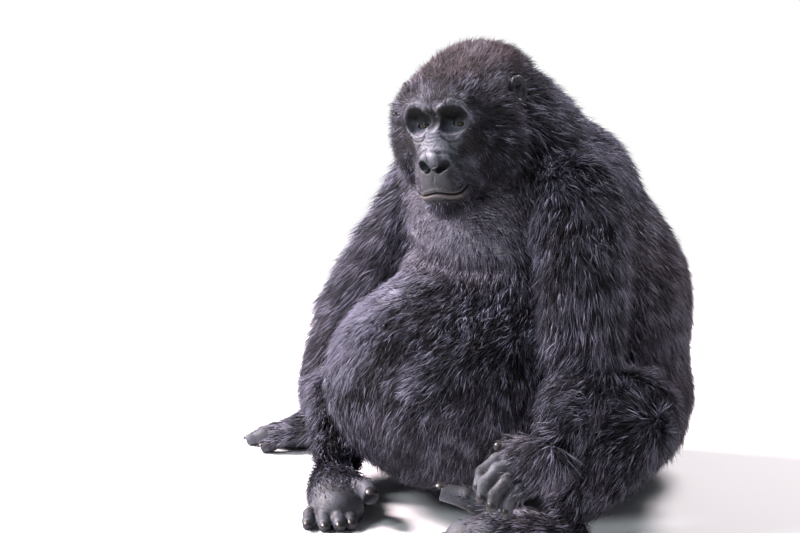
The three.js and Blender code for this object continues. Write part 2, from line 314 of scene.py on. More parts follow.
def join(a, b, soft):
    """Two solids in one, with a fillet as wide as soft."""
    h = np.clip(0.5 + 0.5 * (b - a) / soft, 0, 1)
    return b + (a - b) * h - soft * h * (1 - h)


def cut(a, b, soft):
    return -join(-a, b, soft)


def crease(p, points, width):
    """How near points lie to a line drawn on the face, from 0 to 1."""
    near = chain(p[:, [0, 2]], [np.array(q, float) for q in points], [0.0] * len(points))
    return np.exp(-((near / width) ** 2))


def mirrored(p):
    """Points of either side moved to the left one."""
    return np.column_stack((np.abs(p[:, 0]), p[:, 1], p[:, 2]))


def head_mass(p, soft=9):
    """The head out to the tips of its coat."""
    m = mirrored(p)
    parts = [
        ball(p, (0, 85, 28), (98, 100, 82)),
        ball(p, (0, 130, 58), (58, 78, 50)),
        ball(p, (0, 154, 52), (84, 88, 58)),
        ball(m, (62, 46, 14), (48, 46, 50)),
        ball(m, (-62, 46, 14), (48, 46, 50)),
        ball(p, (0, 140, 0), (94, 84, 95)),
        ball(m, (24, -6, 26), (26, 14, 10)),
        ball(m, (-24, -6, 26), (26, 14, 10)),
        ball(p, (0, 8, -22), (66, 34, 60)),
        ball(p, (0, -9, -98), (48, 36, 38)),
        ball(p, (0, -30, -60), (26, 20, 15)),
        ball(p, (0, -16, -28), (11, 13, 34)),
        ball(p, (0, -26, -98), (38, 25, 16)),
        ball(p, (0, -18, -134), (36, 24, 22)),
        ball(m, (68, 52, -48), (54, 62, 82)),
        ball(m, (-68, 52, -48), (54, 62, 82)),
        ball(p, (0, 55, -80), (80, 60, 72)),
    ]
    near = np.array(parts)
    least = near.min(axis=0)
    return least - soft * np.log(np.exp((least - near) / soft).sum(axis=0))


def line(*points):
    return [np.array(q, float) for q in points]


# The line between the lips, across and up
MOUTH = line((0, -112), (10, -113), (20, -115.2), (30, -116.6), (39, -114.6), (45, -109.5), (49, -104))


def over_mouth(p):
    """How far points lie above the line between the lips."""
    xs, zs = zip(*MOUTH)
    return p[:, 2] - along(np.abs(p[:, 0]), xs, zs)


def bare_face(p):
    """1 on the face's bare skin, 0 where the coat grows, in the head's frame."""
    x, y, z = mirrored(p).T
    upper = step(0, 8, z)
    socket = step(1.12, 1.0, np.hypot((x - 35) / (26 + 3 * upper), (z - 3) / (26 + 8 * upper)))
    levels = (-121, -112, -95, -80, -60, -45, -32, -15, 5, 16)
    reach = (28, 32, 30, 29, 32, 40, 46, 48, 34, 3)
    middle_part = step(6, -5, x - along(z, levels, reach)) * step(-128, -122, z) * step(20, 8, z)
    lips = step(10, 7, np.abs(over_mouth(p) + 2)) * step(54, 46, x) * step(0, -16, y)
    return np.maximum(np.maximum(socket, middle_part), lips) * step(44, 26, y)


def head_skin(p, whole=True):
    """The head's skin: brow, lids, nose, lips and ears, whose rims are left out unless it is whole."""
    m = mirrored(p)
    bare = bare_face(p)
    over = step(-30, 60, p[:, 1])
    f = head_mass(p, 13) + 3 + (1 - bare) * (1.5 + 7 * over + 3 * step(0, 60, p[:, 2])) - 1.5 * bare
    brow = line((0, -15, 26), (16, -20, 31), (34, -19, 34), (52, -6, 28), (64, 10, 10), (68, 19, -10))
    f = join(f, chain(m, brow, [5.5, 7.0, 7.5, 7.0, 5.5, 4.5]), 6)
    f = cut(f, ball(m, (35, -25, 5), (26, 25, 22)), 7)
    f = cut(f, ball(p, (0, -38, 6), (12, 20, 15)), 7)
    # Eyes: round lids over the ball, a bag under them, and an almond opening
    f = join(f, ball(m, EYE + (0, 1.0, 1.5), (15.4, 14.9, 15.6)), 4)
    bag = line((18, 0, -15), (27, -6, -20), (38, -5, -21), (49, 4, -16))
    f = join(f, chain(m, bag, [2.5, 4.5, 4.5, 3.0]), 6)
    almond = ball(m, EYE + (0.3, -13, -0.4), (10.8, 15, 4.6), turn("y", 7))
    pocket = np.maximum(almond, EYE_RADIUS - 1.4 - np.linalg.norm(m - EYE, axis=1))
    f = cut(f, pocket, 0.8)
    # Nose: a broad bridge, a round tip, and two thick wings that curl round the nostrils
    f = join(f, ball(p, (0, -13, -40), (43, 17, 22)), 5)
    f = cut(f, ball(m, (45, -42, -61), (10, 14, 16)), 6)
    f = join(f, ball(p, (0, -49, -57), (14.5, 21, 15.5)), 6)
    f = join(f, ball(m, (19, -36, -65), (15, 15, 14)), 4)
    f = cut(f, ball(m, (20, -54, -67), (11, 20, 8.5), turn("y", -28)), 2.0)
    f = cut(f, ball(m, (11, -50, -74), (7, 15, 6.5)), 2.0)
    f = join(f, rod(p, np.array((0, -55, -62.0)), np.array((0, -45, -82.0)), 3.6, 4.2), 2.5)
    under = line((5, -44, -84), (17, -43, -82), (29, -36, -72))
    f = join(f, chain(m, under, [3.0, 3.6, 4.3]), 3)
    # Mouth: rolled lips along a line that dips at its sides and turns up at its corners
    up = over_mouth(p)
    front = step(54, 42, m[:, 0]) * step(0, -16, p[:, 1])
    f = f - front * (2.2 * np.exp(-(((up - 4.5) / 4) ** 2)) + 3.6 * np.exp(-(((up + 4.6) / 3.4) ** 2)))
    f = f + 1.1 * front * np.exp(-((up / 1.8) ** 2))
    # Ears: a thin rim round a hollow
    tilt = turn("z", -24)
    ear = np.array(EAR)
    q = (m - ear) @ tilt
    f_ear = ball(m, ear, (8, 17, 24), tilt)
    if whole:
        ring = np.hypot((np.hypot(q[:, 1] / 13, q[:, 2] / 20) - 1) * 15, q[:, 0] - 3.5) - 4.4
        f_ear = join(f_ear, ring, 2)
        f_ear = cut(f_ear, ball(m, ear + tilt @ (9, -1, 0), (12, 9.5, 15), tilt), 2)
        f_ear = join(f_ear, ball(m, ear + tilt @ (2, 3.5, -2), (4.5, 2.8, 9), tilt), 2)
    root = ball(m, ear + (-13, 2, -4), (18, 11, 15))
    return join(f, join(f_ear, root, 5), 4)


def from_teat(p):
    """How far body points lie from the nearer teat, across and up."""
    return np.hypot(np.abs(p[:, 0]) - TEAT[0], p[:, 2] - TEAT[1])


def breast_area(p, depth, breadth, low, high):
    """1 on the breast and 0 off it, by where its front, its sides, its foot and its top fade."""
    x, y, z = mirrored(p).T
    return step(*depth, y) * step(*breadth, x) * step(*low, z) * step(*high, z)


def fold_height(p):
    """The height along which the breast's folds repeat: they sag from its middle, and waver."""
    return p[:, 2] - 0.16 * np.abs(p[:, 0]) + 5 * wander(p, 40, 17)[:, 0]


def along_limb(name, p):
    """How far body points lie along a limb, from 0 at its root to 1 at its tip."""
    root, tip = np.array(LIMBS[name], float)
    return (p - root) @ (tip - root) / ((tip - root) @ (tip - root))


def wrinkles(p):
    """How deep the creases and folds press into the face."""
    rough = p + 1.6 * wander(p, 14, 31)
    m = mirrored(rough)
    creases = (
        ([(14, -10), (22, -16.5), (36, -17), (48, -11)], 1.5, 1.0),  # under the eye
        ([(13, -15), (22, -22), (37, -23), (50, -16)], 1.6, 1.2),
        ([(16, -22), (28, -29), (44, -28), (54, -19)], 2.2, 1.9),
        ([(16, 9), (26, 15), (40, 15), (50, 7)], 1.8, 1.6),  # over the lid
        ([(18, 16), (28, 21), (42, 20), (52, 12)], 2.2, 1.0),
        ([(54, 8), (59, -2), (58, -14)], 2.2, 0.8),
        ([(8, -44), (20, -45), (31, -51), (36, -62), (35, -74), (27, -86)], 2.4, 1.5),  # nose's wing
        ([(30, -36), (39, -45), (42, -58), (40, -72), (33, -86)], 1.6, 1.5),
        ([(0, -86), (0, -108)], 2.4, 0.7),
    )
    depth = sum(crease(m, points, width) * sink for points, width, sink in creases)
    for k, height in enumerate((8, 1, -6, -12, -18, -24, -30, -36)):
        slope = [(-13 - k, height + 2.5), (-4, height - 1), (5, height - 0.4), (13 + k, height + 2.9)]
        depth = depth + crease(rough, slope, 1.1) * 0.45 * (1 + 0.8 * wander(p, 12, 40 + k)[:, 0])
    for k in range(12):
        x = 3 + 3.9 * k
        depth = depth + crease(m, [(x, -91 - 0.1 * x), (x * 1.06, -108)], 0.8) * 0.3
        depth = depth + crease(m, [(x, -121), (x * 0.97, -127)], 0.8) * 0.25
    seam = crease(mirrored(p), MOUTH, 1.0) * step(2, -12, p[:, 1])
    return depth * bare_face(p) * step(24, 4, p[:, 1]) + 3.2 * seam


def extremity(name):
    """The field of a hand's or foot's skin: a flattened palm or sole with a chain for each digit."""
    palm, back, digits = EXTREMITIES[name]
    palm = np.array(palm, float)
    back = unit(np.array(back, float))
    flat = (palm[:, 4] / palm[:, 3]).mean()

    def field(p):
        round_out = [q + (q @ back)[:, None] * back * (1 / flat - 1) for q in (p, palm[:, :3])]
        f = chain(round_out[0], round_out[1], palm[:, 3]) * flat**0.5
        fingers = np.full(len(p), 99.0)
        for digit in np.array(digits, float):
            knuckles = digit[:, 3] - (0.0, 1.2, 1.2, 1.0)
            finger = chain(p, digit[:, :3], knuckles)
            for joint, radius in zip(digit[1:3], knuckles[1:3]):
                finger = join(finger, np.linalg.norm(p - joint[:3], axis=1) - radius - 0.6, 3)
            fingers = join(fingers, finger, 1.5)
        return join(f, fingers, 6)

    return field


def all_digits():
    """Each finger and toe as an array of its stations, with the way its back faces."""
    for _, back, digits in EXTREMITIES.values():
        for digit in np.array(digits, float):
            yield digit, np.array(back, float)


def digit_joints(p):
    """Each point's place along its digit from the nearest joint, in millimetres, and how near it is."""
    least, reach, near = np.full(len(p), 1e3), np.zeros(len(p)), np.zeros(len(p))
    for digit, _ in all_digits():
        for before, joint, after in zip(digit, digit[1:], digit[2:]):
            gap = p - joint[:3]
            run = gap @ unit(after[:3] - before[:3])
            away = np.sqrt(np.maximum((gap**2).sum(axis=1) - run**2, 0)) / joint[3]
            far = np.hypot(away, run / joint[3])
            nearer = far < least
            least[nearer] = far[nearer]
            reach[nearer] = run[nearer]
            near[nearer] = (step(8, 4, np.abs(run)) * step(1.3, 1.1, away))[nearer]
    return reach, near


# Surfaces ------------------------------------------------------------------------------------


class Surface:
    """A triangle mesh as arrays, in the posing frame's millimetres."""

    def __init__(self, mesh):
        count = len(mesh.vertices)
        points = np.empty(count * 3, np.float32)
        mesh.vertices.foreach_get("co", points)
        self.points = to_body(points.reshape(-1, 3).astype(float))
        mesh.calc_loop_triangles()
        faces = np.empty(len(mesh.loop_triangles) * 3, np.int32)
        mesh.loop_triangles.foreach_get("vertices", faces)
        self.faces = faces.reshape(-1, 3)
        pairs = np.sort(self.faces[:, [0, 1, 1, 2, 2, 0]].reshape(-1, 2), axis=1)
        self.edges = np.unique(pairs, axis=0)
        ends = self.edges.ravel()
        self.degree = np.bincount(ends, minlength=count)[:, None]

    def spread(self, values):
        """Each vertex's mean over its neighbours."""
        a, b = self.edges.T
        total = np.zeros_like(values)
        for k, column in enumerate(values.T):
            total[:, k] = np.bincount(a, column[b], len(values)) + np.bincount(b, column[a], len(values))
        return total / np.maximum(self.degree, 1)

    def soften(self, values, times, share=0.5):
        for _ in range(times):
            values = values * (1 - share) + self.spread(values) * share
        return values

    def even_out(self, values, times):
        """Softens without shrinking."""
        for _ in range(times):
            values = self.soften(values, 1, 0.5)
            values = self.soften(values, 1, -0.53)
        return values

    def normals(self):
        a, b, c = (self.points[self.faces[:, k]] for k in range(3))
        face = np.cross(b - a, c - a)
        total = np.zeros_like(self.points)
        for k in range(3):
            for axis in range(3):
                total[:, axis] += np.bincount(self.faces[:, k], face[:, axis], len(total))
        return unit(total)

    def even_faces(self, share):
        """Moves points along the surface by a share, so that its triangles get even."""
        self.points += share * across(self.spread(self.points) - self.points, self.normals())

    def write(self, mesh):
        mesh.vertices.foreach_set("co", to_world(self.points).astype(np.float32).ravel())
        mesh.update()


def new_mesh(name, work):
    """A mesh of what a modelling session holds, which ends there."""
    mesh = bpy.data.meshes.new(name)
    work.to_mesh(mesh)
    work.free()
    return mesh


def flesh_shell(grow):
    """Every part of flesh in one mesh, swollen enough to close the gaps between them."""
    shell = bmesh.new()
    for name in FLESH + ["eye_left", "eye_right"]:
        part = bmesh.new()
        part.from_mesh(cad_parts[name].data)
        bmesh.ops.remove_doubles(part, verts=part.verts, dist=1e-5)
        part.normal_update()
        for vert in part.verts:
            vert.co += vert.normal * grow
        piece = new_mesh("flesh", part)
        shell.from_mesh(piece)
        bpy.data.meshes.remove(piece)
    return new_mesh("skin", shell)


def link_new(name, data):
    """A new object in the scene, of a mesh, a lamp or a camera, and of the same name."""
    data.name = name
    obj = bpy.data.objects.new(name, data)
    bpy.context.scene.collection.objects.link(obj)
    return obj


def apply_modifiers(obj):
    """Applies an object's modifiers and splits what comes out into triangles."""
    evaluated = obj.evaluated_get(bpy.context.evaluated_depsgraph_get())
    mesh = bpy.data.meshes.new_from_object(evaluated)
    obj.modifiers.clear()
    old, obj.data = obj.data, mesh
    bpy.data.meshes.remove(old)
    work = bmesh.new()
    work.from_mesh(obj.data)
    bmesh.ops.triangulate(work, faces=work.faces)
    work.to_mesh(obj.data)
    work.free()


def part_shares(surface):
    """How far each point belongs to each part of flesh, one column a part."""
    points, faces, owner = [], [], []
    for index, name in enumerate(FLESH):
        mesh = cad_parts[name].data
        mesh.calc_loop_triangles()
        base = len(points)
        points += [v.co.copy() for v in mesh.vertices]
        for tri in mesh.loop_triangles:
            faces.append([base + v for v in tri.vertices])
            owner.append(index)
    tree = BVHTree.FromPolygons(points, faces)
    share = np.zeros((len(surface.points), len(FLESH)))
    for row, point in enumerate(to_world(surface.points)):
        share[row, owner[tree.find_nearest(Vector(point))[2]]] = 1
    return share


def columns(share, *starts):
    """The summed share of the parts whose names start so."""
    return share[:, [n.startswith(starts) for n in FLESH]].sum(axis=1)[:, None]


def store(mesh, name, values):
    """Keeps a number for each vertex under a name."""
    if name in mesh.attributes:
        mesh.attributes.remove(mesh.attributes[name])
    attribute = mesh.attributes.new(name, "FLOAT", "POINT")
    attribute.data.foreach_set("value", values.astype(np.float32).ravel())


def recall(mesh, name):
    """The numbers kept under a name."""
    values = np.empty(len(mesh.vertices), np.float32)
    mesh.attributes[name].data.foreach_get("value", values)
    return values.astype(float)[:, None]


def refine(obj, chosen):
    """Splits every triangle whose centre is chosen into four."""
    work = bmesh.new()
    work.from_mesh(obj.data)
    centres = np.array([f.calc_center_median() for f in work.faces])
    picked = chosen(to_body(centres))
    edges = {e for f, take in zip(work.faces, picked) if take for e in f.edges}
    bmesh.ops.subdivide_edges(work, edges=list(edges), cuts=1, use_grid_fill=True)
    bmesh.ops.triangulate(work, faces=[f for f in work.faces if len(f.verts) > 3])
    work.to_mesh(obj.data)
    work.free()


def settle(points, field, times):
    """Draws points straight onto a field's surface, at most 5 mm at a time."""
    probe = 0.4
    for _ in range(times):
        here = field(points)
        slope = np.empty_like(points)
        for axis in range(3):
            ahead = points.copy()
            ahead[:, axis] += probe
            slope[:, axis] = (field(ahead) - here) / probe
        steep = np.maximum((slope**2).sum(axis=1), 0.25)
        move = slope * (here / steep)[:, None]
        size = np.linalg.norm(move, axis=1, keepdims=True)
        points = points - move * np.minimum(1, 5 / np.maximum(size, 1e-6))
    return points


def within(p, low, high):
    """Whether body points lie in a box of the head's frame, on either side of the face."""
    q = mirrored(to_head(p))
    return ((q > low) & (q < high)).all(axis=1)


def draw_in(surface, share):
    """Draws the skin in from the coat's tips by the coat's depth."""
    depth = share @ np.array([[COAT[n][0]] for n in FLESH], float)
    x, y, z = surface.points.T
    thin = breast_area(surface.points, (-20, -60), (150, 90), (410, 450), (640, 590))
    depth = surface.soften(depth * (1 - 0.7 * thin[:, None]), 8)
    fold = np.exp(-(((z - 438 - 0.0006 * x**2) / 11) ** 2)) * step(-10, -50, y) * step(190, 120, np.abs(x))
    depth += 9 * fold[:, None]
    furred = 0.35 * step(0.7, 0.2, columns(share, "hand", "foot"))
    for _ in range(8):
        points = surface.points - surface.normals() * depth / 8
        surface.points = points * (1 - furred) + surface.spread(points) * furred


def join_flesh():
    """One closed skin round all the parts of flesh."""
    obj = link_new("skin", flesh_shell(SWELL))
    voxels = obj.modifiers.new("voxels", "REMESH")
    voxels.mode = "VOXEL"
    voxels.voxel_size = VOXEL
    apply_modifiers(obj)
    return obj


def thin_out(obj, fine):
    """Takes triangles out of the skin where it isn't fine."""
    group = obj.vertex_groups.new(name="fine")
    for index, weight in enumerate(fine.ravel()):
        group.add([index], float(weight), "REPLACE")
    thin = obj.modifiers.new("thin", "DECIMATE")
    thin.ratio = SKIN_KEPT
    thin.vertex_group = group.name
    thin.invert_vertex_group = True
    thin.vertex_group_factor = 1000
    apply_modifiers(obj)


def refine_box(obj, box):
    """Makes the skin finer in a box of the head's frame."""
    refine(obj, lambda p: within(p, *box))


def refine_teats(obj, reach):
    """Makes the skin finer round the teats."""
    refine(obj, lambda p: (from_teat(p) < reach) & (p[:, 1] < 0))


def build_skin():
    """The whole skin: joined, drawn in under the coat, and drawn afresh at the head, hands and feet."""
    obj = join_flesh()
    surface = Surface(obj.data)
    share = part_shares(surface)
    head = surface.soften(columns(share, *HEAD_PARTS), 3)
    share = surface.soften(share, 14)
    bare = columns(share, "hand", "foot")
    kept_full, softer = surface.even_out(surface.points, 4), surface.soften(surface.points, 5)
    surface.points = np.where(bare > 0.6, kept_full, softer)
    draw_in(surface, share)
    surface.write(obj.data)
    store(obj.data, "head", surface.soften(step(0.4, 1.0, head), 6))
    q = to_head(surface.points)
    face = step(75, 50, q[:, 1]) * step(75, 55, q[:, 2])
    ears = step(58, 42, np.linalg.norm(mirrored(q) - EAR, axis=1))
    fine_head = step(0.0, 0.3, head) * np.maximum(face, ears)[:, None]
    thin_out(obj, np.maximum(fine_head, step(0.05, 0.3, bare)))
    unwrap(obj)
    draw_extremities(obj)
    refine(obj, near_digits)
    draw_extremities(obj)
    draw_head(obj, 4, WHOLE_HEAD, whole=False)
    for box in FACE_BOXES:
        refine_box(obj, box)
        draw_head(obj, 3, box)
    refine_box(obj, EAR_BOX)
    draw_head(obj, 3, EAR_BOX, whole=False)
    refine_box(obj, RIM_BOX)
    for _ in range(2):
        draw_head(obj, 3, RIM_BOX)
    for reach in (24, 16):
        refine_teats(obj, reach)
    press_creases(obj)
    return obj


def press_creases(obj):
    """Presses the wrinkles in, raises the teats and stores the skin's marks."""
    surface = Surface(obj.data)
    sink = wrinkles(to_head(surface.points))[:, None] * step(0.8, 0.95, recall(obj.data, "head"))
    teat = np.exp(-((from_teat(surface.points) / 6) ** 4)) * step(0, -20, surface.points[:, 1])
    surface.points += surface.normals() * 7 * teat[:, None]
    surface.points -= surface.normals() * sink
    surface.write(obj.data)
    store(obj.data, "crease", sink)
    mark_skin(obj, surface)
    obj.data.shade_smooth()


def near_digits(p):
    """Whether body points lie round a digit."""
    near = [chain(p, digit[1:, :3], digit[1:, 3]) < 5 for digit, _ in all_digits()]
    return np.any(near, axis=0)


def draw_extremities(obj):
    """Lays the skin of the hands and feet on their fields and flattens them on the floor."""
    surface = Surface(obj.data)
    share = surface.soften(part_shares(surface), 2)
    for name in EXTREMITIES:
        near = step(0.5, 0.95, columns(share, name))
        picked = near[:, 0] > 0.01
        field = extremity(name)
        for _ in range(3):
            surface.even_faces(0.6 * near)
            start = surface.points[picked]
            surface.points[picked] = start + (settle(start, field, 2) - start) * near[picked]
    surface.points[:, 2] = np.maximum(surface.points[:, 2], FLOOR_LEVEL)
    surface.write(obj.data)


def face_marks(q):
    """How far the face has the lips' colour, how far it is darker (painted shade in the eye sockets and
    between them, and the muzzle below the nose), and how far painted highlights lighten the brow's edge, the
    nose's bridge and the skin under the eyes.
    """
    x, y, z = mirrored(q).T
    up = over_mouth(q)
    lips = step(-9, -6.5, up) * step(0, -1.2, up) + 0.35 * step(0, 1.2, up) * step(5, 3, up)
    lips *= step(50, 40, x) * step(2, -12, y)
    # painted shade: the eye sockets and the gap between the eyes darkened where shade falls
    socket = step(1.15, 0.75, np.hypot((x - 34) / 28, (z - 15) / 17)) * step(30, 10, y)
    between = 0.6 * step(18, 10, x) * step(-10, 4, z) * step(40, 20, y)
    # the muzzle below the nose a little darker
    muzzle = 0.35 * step(-70, -82, z)
    painted_shade = np.maximum(np.maximum(socket, between), muzzle)
    # painted highlights: the brow's edge, where the hair is also paler, the nose's bridge where the light
    # falls on it, and the skin under the eyes, lightened out of its shade
    arc = [(0, 22), (16, 30), (34, 34), (52, 28), (62, 12), (64, -8)]
    brow = 0.7 * crease(mirrored(q), arc, 2.4) * step(0, 14, z) * step(40, 20, y)
    bridge = 0.6 * step(-60, -48, z) * step(-4, -18, z) * step(30, 20, x)
    bags = 0.5 * step(-3, -10, z) * step(-32, -22, z) * step(54, 44, x) * step(30, 10, y)
    painted_highlight = np.maximum(np.maximum(brow, bridge), bags)
    return lips, painted_shade, painted_highlight


def mark_skin(obj, surface):
    """Stores what the skin's finish needs to know at each point."""
    p = surface.points
    share = surface.soften(part_shares(surface), 8)
    head = columns(share, *HEAD_PARTS)[:, 0]
    q = to_head(p)
    brown, pale = marks(p, head)
    lips, painted_shade, painted_highlight = face_marks(q)
    joint, knuckle = digit_joints(p)
    teat = np.exp(-((from_teat(p) / 8) ** 2)) * step(0, -20, p[:, 1])
    breast = breast_area(p, (-15, -50), (160, 120), (445, 460), (600, 560))
    kinds = {
        "brown": brown,
        "pale": pale,
        "bare": np.maximum(columns(share, "hand", "foot", "ear")[:, 0], bare_face(q) * step(0.5, 0.9, head)),
        "lip": np.maximum(lips * head, 0.7 * teat),
        "painted_shade": painted_shade * head,
        "painted_highlight": painted_highlight * head,
        "ear": columns(share, "ear")[:, 0],
        "joint": joint,
        "knuckle": knuckle,
        "breast": breast * step(8, 45, np.abs(p[:, 0])) * (1 - head),
        "fold": fold_height(p),
    }
    for name, values in kinds.items():
        store(obj.data, name, values)


def unwrap(obj):
    """Lays the skin out flat, so that each hair can find its root's place there."""
    bpy.context.view_layer.objects.active = obj
    obj.select_set(True)
    bpy.ops.object.mode_set(mode="EDIT")
    bpy.ops.mesh.select_all(action="SELECT")
    bpy.ops.uv.smart_project(angle_limit=math.radians(66), island_margin=0.002)
    bpy.ops.object.mode_set(mode="OBJECT")
    obj.data.uv_layers[0].name = "OFBake"


def draw_head(obj, cycles, box, whole=True):
    """Lays a box of the head's skin on its field, evening out its triangles as it goes."""
    surface = Surface(obj.data)
    near = recall(obj.data, "head") * within(surface.points, *box)[:, None]
    picked = near[:, 0] > 0.01
    for _ in range(cycles):
        surface.even_faces(0.7 * near)
        start = surface.points[picked]
        target = from_head(settle(to_head(start), lambda p: head_skin(p, whole), 2))
        surface.points[picked] = start + (target - start) * near[picked]
    surface.write(obj.data)


# Materials -------------------------------------------------------------------------------------


class Value:
    """A socket that takes part in sums."""

    def __init__(self, nodes, socket):
        self.nodes = nodes
        self.socket = socket

    def math(self, operation, *others):
        return self.nodes.add("ShaderNodeMath", {"operation": operation}, self, *others)[0]

    def __add__(self, other):
        return self.math("ADD", other)

    def __mul__(self, other):
        return self.math("MULTIPLY", other)

    def __sub__(self, other):
        return self.math("SUBTRACT", other)

    def __rsub__(self, other):
        return self.nodes.add("ShaderNodeMath", {"operation": "SUBTRACT"}, other, self)[0]

    __radd__ = __add__
    __rmul__ = __mul__

    def ramp(self, low, high, to_low=0.0, to_high=1.0):
        """This socket with one range eased into another."""
        settings = {"interpolation_type": "SMOOTHSTEP"}
        return self.nodes.add("ShaderNodeMapRange", settings, self, low, high, to_low, to_high)[0]


class Nodes:
    """The node tree of a material or a world, built by calls that return sockets."""

    def __init__(self, owner):
        owner.use_nodes = True
        self.owner = owner
        self.tree = owner.node_tree
        material = isinstance(owner, bpy.types.Material)
        self.shader = self.tree.nodes["Principled BSDF" if material else "Background"]
        self.output = self.tree.nodes["Material Output" if material else "World Output"]

    def add(self, kind, settings=None, *values, **named):
        """A node of a kind: its settings first, then the values or links of its sockets."""
        node = self.tree.nodes.new(kind)
        for key, setting in (settings or {}).items():
            setattr(node, key, setting)
        for socket, value in zip([i for i in node.inputs if i.enabled], values):
            self.feed(socket, value)
        for key, value in named.items():
            self.feed(node.inputs[key.replace("_", " ")], value)
        return [Value(self, socket) for socket in node.outputs if socket.enabled]

    def feed(self, socket, value):
        """Links a socket to another, or sets its number or colour."""
        if isinstance(value, Value):
            self.tree.links.new(value.socket, socket)
        else:
            socket.default_value = value

    def finish(self, **sockets):
        """Feeds the shader's sockets, and returns the material or the world."""
        for key, value in sockets.items():
            self.feed(self.shader.inputs[key.replace("_", " ")], value)
        return self.owner

    def show(self, share, other):
        """Mixes another shader over the main one by a share, and shows the mix."""
        own = Value(self, self.shader.outputs[0])
        mix = self.add("ShaderNodeMixShader", None, share, own, other)[0]
        self.feed(self.output.inputs[0], mix)

    def place(self):
        """The place on the object, in metres."""
        return self.add("ShaderNodeTexCoord")[3]

    def noise(self, scale, detail=3.0):
        named = {"Vector": self.place(), "Scale": scale, "Detail": detail, "Roughness": 0.55}
        return self.add("ShaderNodeTexNoise", None, **named)[0]

    def mark(self, name):
        """A number stored on the mesh."""
        return self.add("ShaderNodeAttribute", {"attribute_name": name})[2]

    def blend(self, factor, *colours):
        """A colour between two, each a socket or its red, green and blue."""
        colours = [c if isinstance(c, Value) else (*c, 1) for c in colours]
        return self.add("ShaderNodeMix", {"data_type": "RGBA"}, factor, *colours)[0]

    def bump(self, height, distance, strength=1.0):
        return self.add("ShaderNodeBump", None, Height=height, Distance=distance, Strength=strength)[0]


# The coat ---------------------------------------------------------------------------------------


def sideways(x, way):
    """A way at each point, whose sideways part is scaled by x."""
    return np.array(way) * np.column_stack((x, np.ones((len(x), 2))))


def trunk_flow(p):
    """The lie of the hair on the belly and back, and on the chest, where the breast's lies outward."""
    x, y, z = p.T
    front = step(120, -120, y)
    side = np.sign(x) * step(10, 90, np.abs(x))
    trunk = np.column_stack((-0.75 * side * front, 0.35 - 0.75 * front, np.full(len(p), -1.0)))
    breast = (step(-10, -50, y) * step(470, 490, z + 0.2 * np.abs(x)))[:, None]
    return trunk, trunk * (1 - breast) + sideways(side, (1.2, 0.3, -0.35)) * breast


def head_flow(q):
    """The lie of the head's hair: back from the face, down the cheeks and up over the brow."""
    x, y, z = q.T
    lie = unit(q - (0, -40, -30)) + (0, 0.9, 0) + np.array((0, 0.25, -0.6)) * step(40, -60, z)[:, None]
    cheek = step(25, 70, np.abs(x)) * step(70, 0, z)
    lie = lie + np.array((0, 0.2, -1.1)) * cheek[:, None]
    brow = (step(12, 26, z) * step(30, 5, y))[:, None]
    return lie * (1 - brow) + sideways(np.sign(x), (0.3, 0.5, 0.9)) * brow


def hair_flow(surface, share):
    """The lie of the coat at each point of the skin, as a unit tangent."""
    p = surface.points
    trunk, chest = trunk_flow(p)
    head = head_flow(to_head(p)) @ HEAD.T
    ways = {"rump": trunk, "belly": trunk, "chest": chest, "neck": np.tile((0.0, 0.7, -0.8), (len(p), 1))}
    ways.update({name: head for name in ("head", "lower_jaw", "ear_left", "ear_right")})
    lie = np.zeros_like(p)
    for column, name in enumerate(FLESH):
        if name in LIMBS:
            root, tip = np.array(LIMBS[name], float)
            way = np.tile(unit(tip - root), (len(p), 1))
        else:
            way = unit(ways[name])
        lie += way * share[:, [column]]
    normals = surface.normals()
    lie = unit(lie)
    off_head = 1 - step(0.2, 0.6, columns(share, *HEAD_PARTS))
    poke = np.maximum((lie * normals).sum(axis=1, keepdims=True), 0) * off_head
    lie = lie + np.array((0, -0.9, -1.3)) * poke**2
    for _ in range(150):
        lie = surface.soften(unit(across(lie, normals)), 1, 0.6)
    return unit(across(lie, normals))


def coat_measures(surface, share):
    """Hair length, lift, breadth and density at each point of the skin."""
    p = surface.points
    length, lift, breadth, density = (share @ np.array([COAT[n][1:] for n in FLESH], float)).T
    q = to_head(p)
    head = columns(share, "head", "lower_jaw")[:, 0]
    away = np.linalg.norm((q - (0, 0, -50)) / (62, 62, 92), axis=1) - 1
    short = along(away, (-0.1, 0.15, 0.5, 1.1), (0.2, 0.34, 0.7, 1.05))
    short = np.maximum(short, 0.95 * step(-122, -140, q[:, 2]))
    length *= 1 - head * (1 - short)
    breadth *= 1 - head * (1 - along(away, (0, 0.6), (0.6, 1.0)))
    bare = bare_face(q) * step(0.5, 0.9, head)
    density *= 1 - bare
    brow = step(0.5, 0.15, away) * step(5, 25, q[:, 2])
    lift *= 1 - 0.5 * brow * head
    density *= 1 + head * 1.6 * step(0.6, 0.0, away)
    chest = breast_area(p, (-15, -50), (150, 100), (440, 470), (640, 590)) * (1 - head)
    length *= 1 - 0.5 * chest
    density *= 1 - 0.55 * chest
    for name in ("forearm_left", "forearm_right", "shin_left", "shin_right"):
        cuff = along(along_limb(name, p), (0.55, 1.0), (1.0, 0.5))
        length *= 1 - columns(share, name)[:, 0] * (1 - cuff)
    density *= 1 - step(14, 8, from_teat(p)) * step(0, -20, p[:, 1])
    normals = surface.normals()
    for name, (_, back, _) in EXTREMITIES.items():
        reach = along_limb(name, p)
        cover = step(-0.45, 0.25, normals @ unit(np.array(back, float))) * step(1.1, 0.55, reach)
        cover = np.maximum(cover, step(0.3, 0.0, reach))
        mine = columns(share, name)[:, 0]
        density *= 1 - mine * (1 - cover)
        length *= 1 - mine * (1 - along(reach, (0.0, 1.0), (1.6, 0.7)))
    ear = columns(share, "ear")[:, 0]
    density *= 1 - ear
    ear_gap = np.linalg.norm(mirrored(q) - EAR, axis=1)
    length *= 1 - 0.45 * step(50, 24, ear_gap) * head
    return np.column_stack((length, lift, breadth, np.maximum(density, 0)))


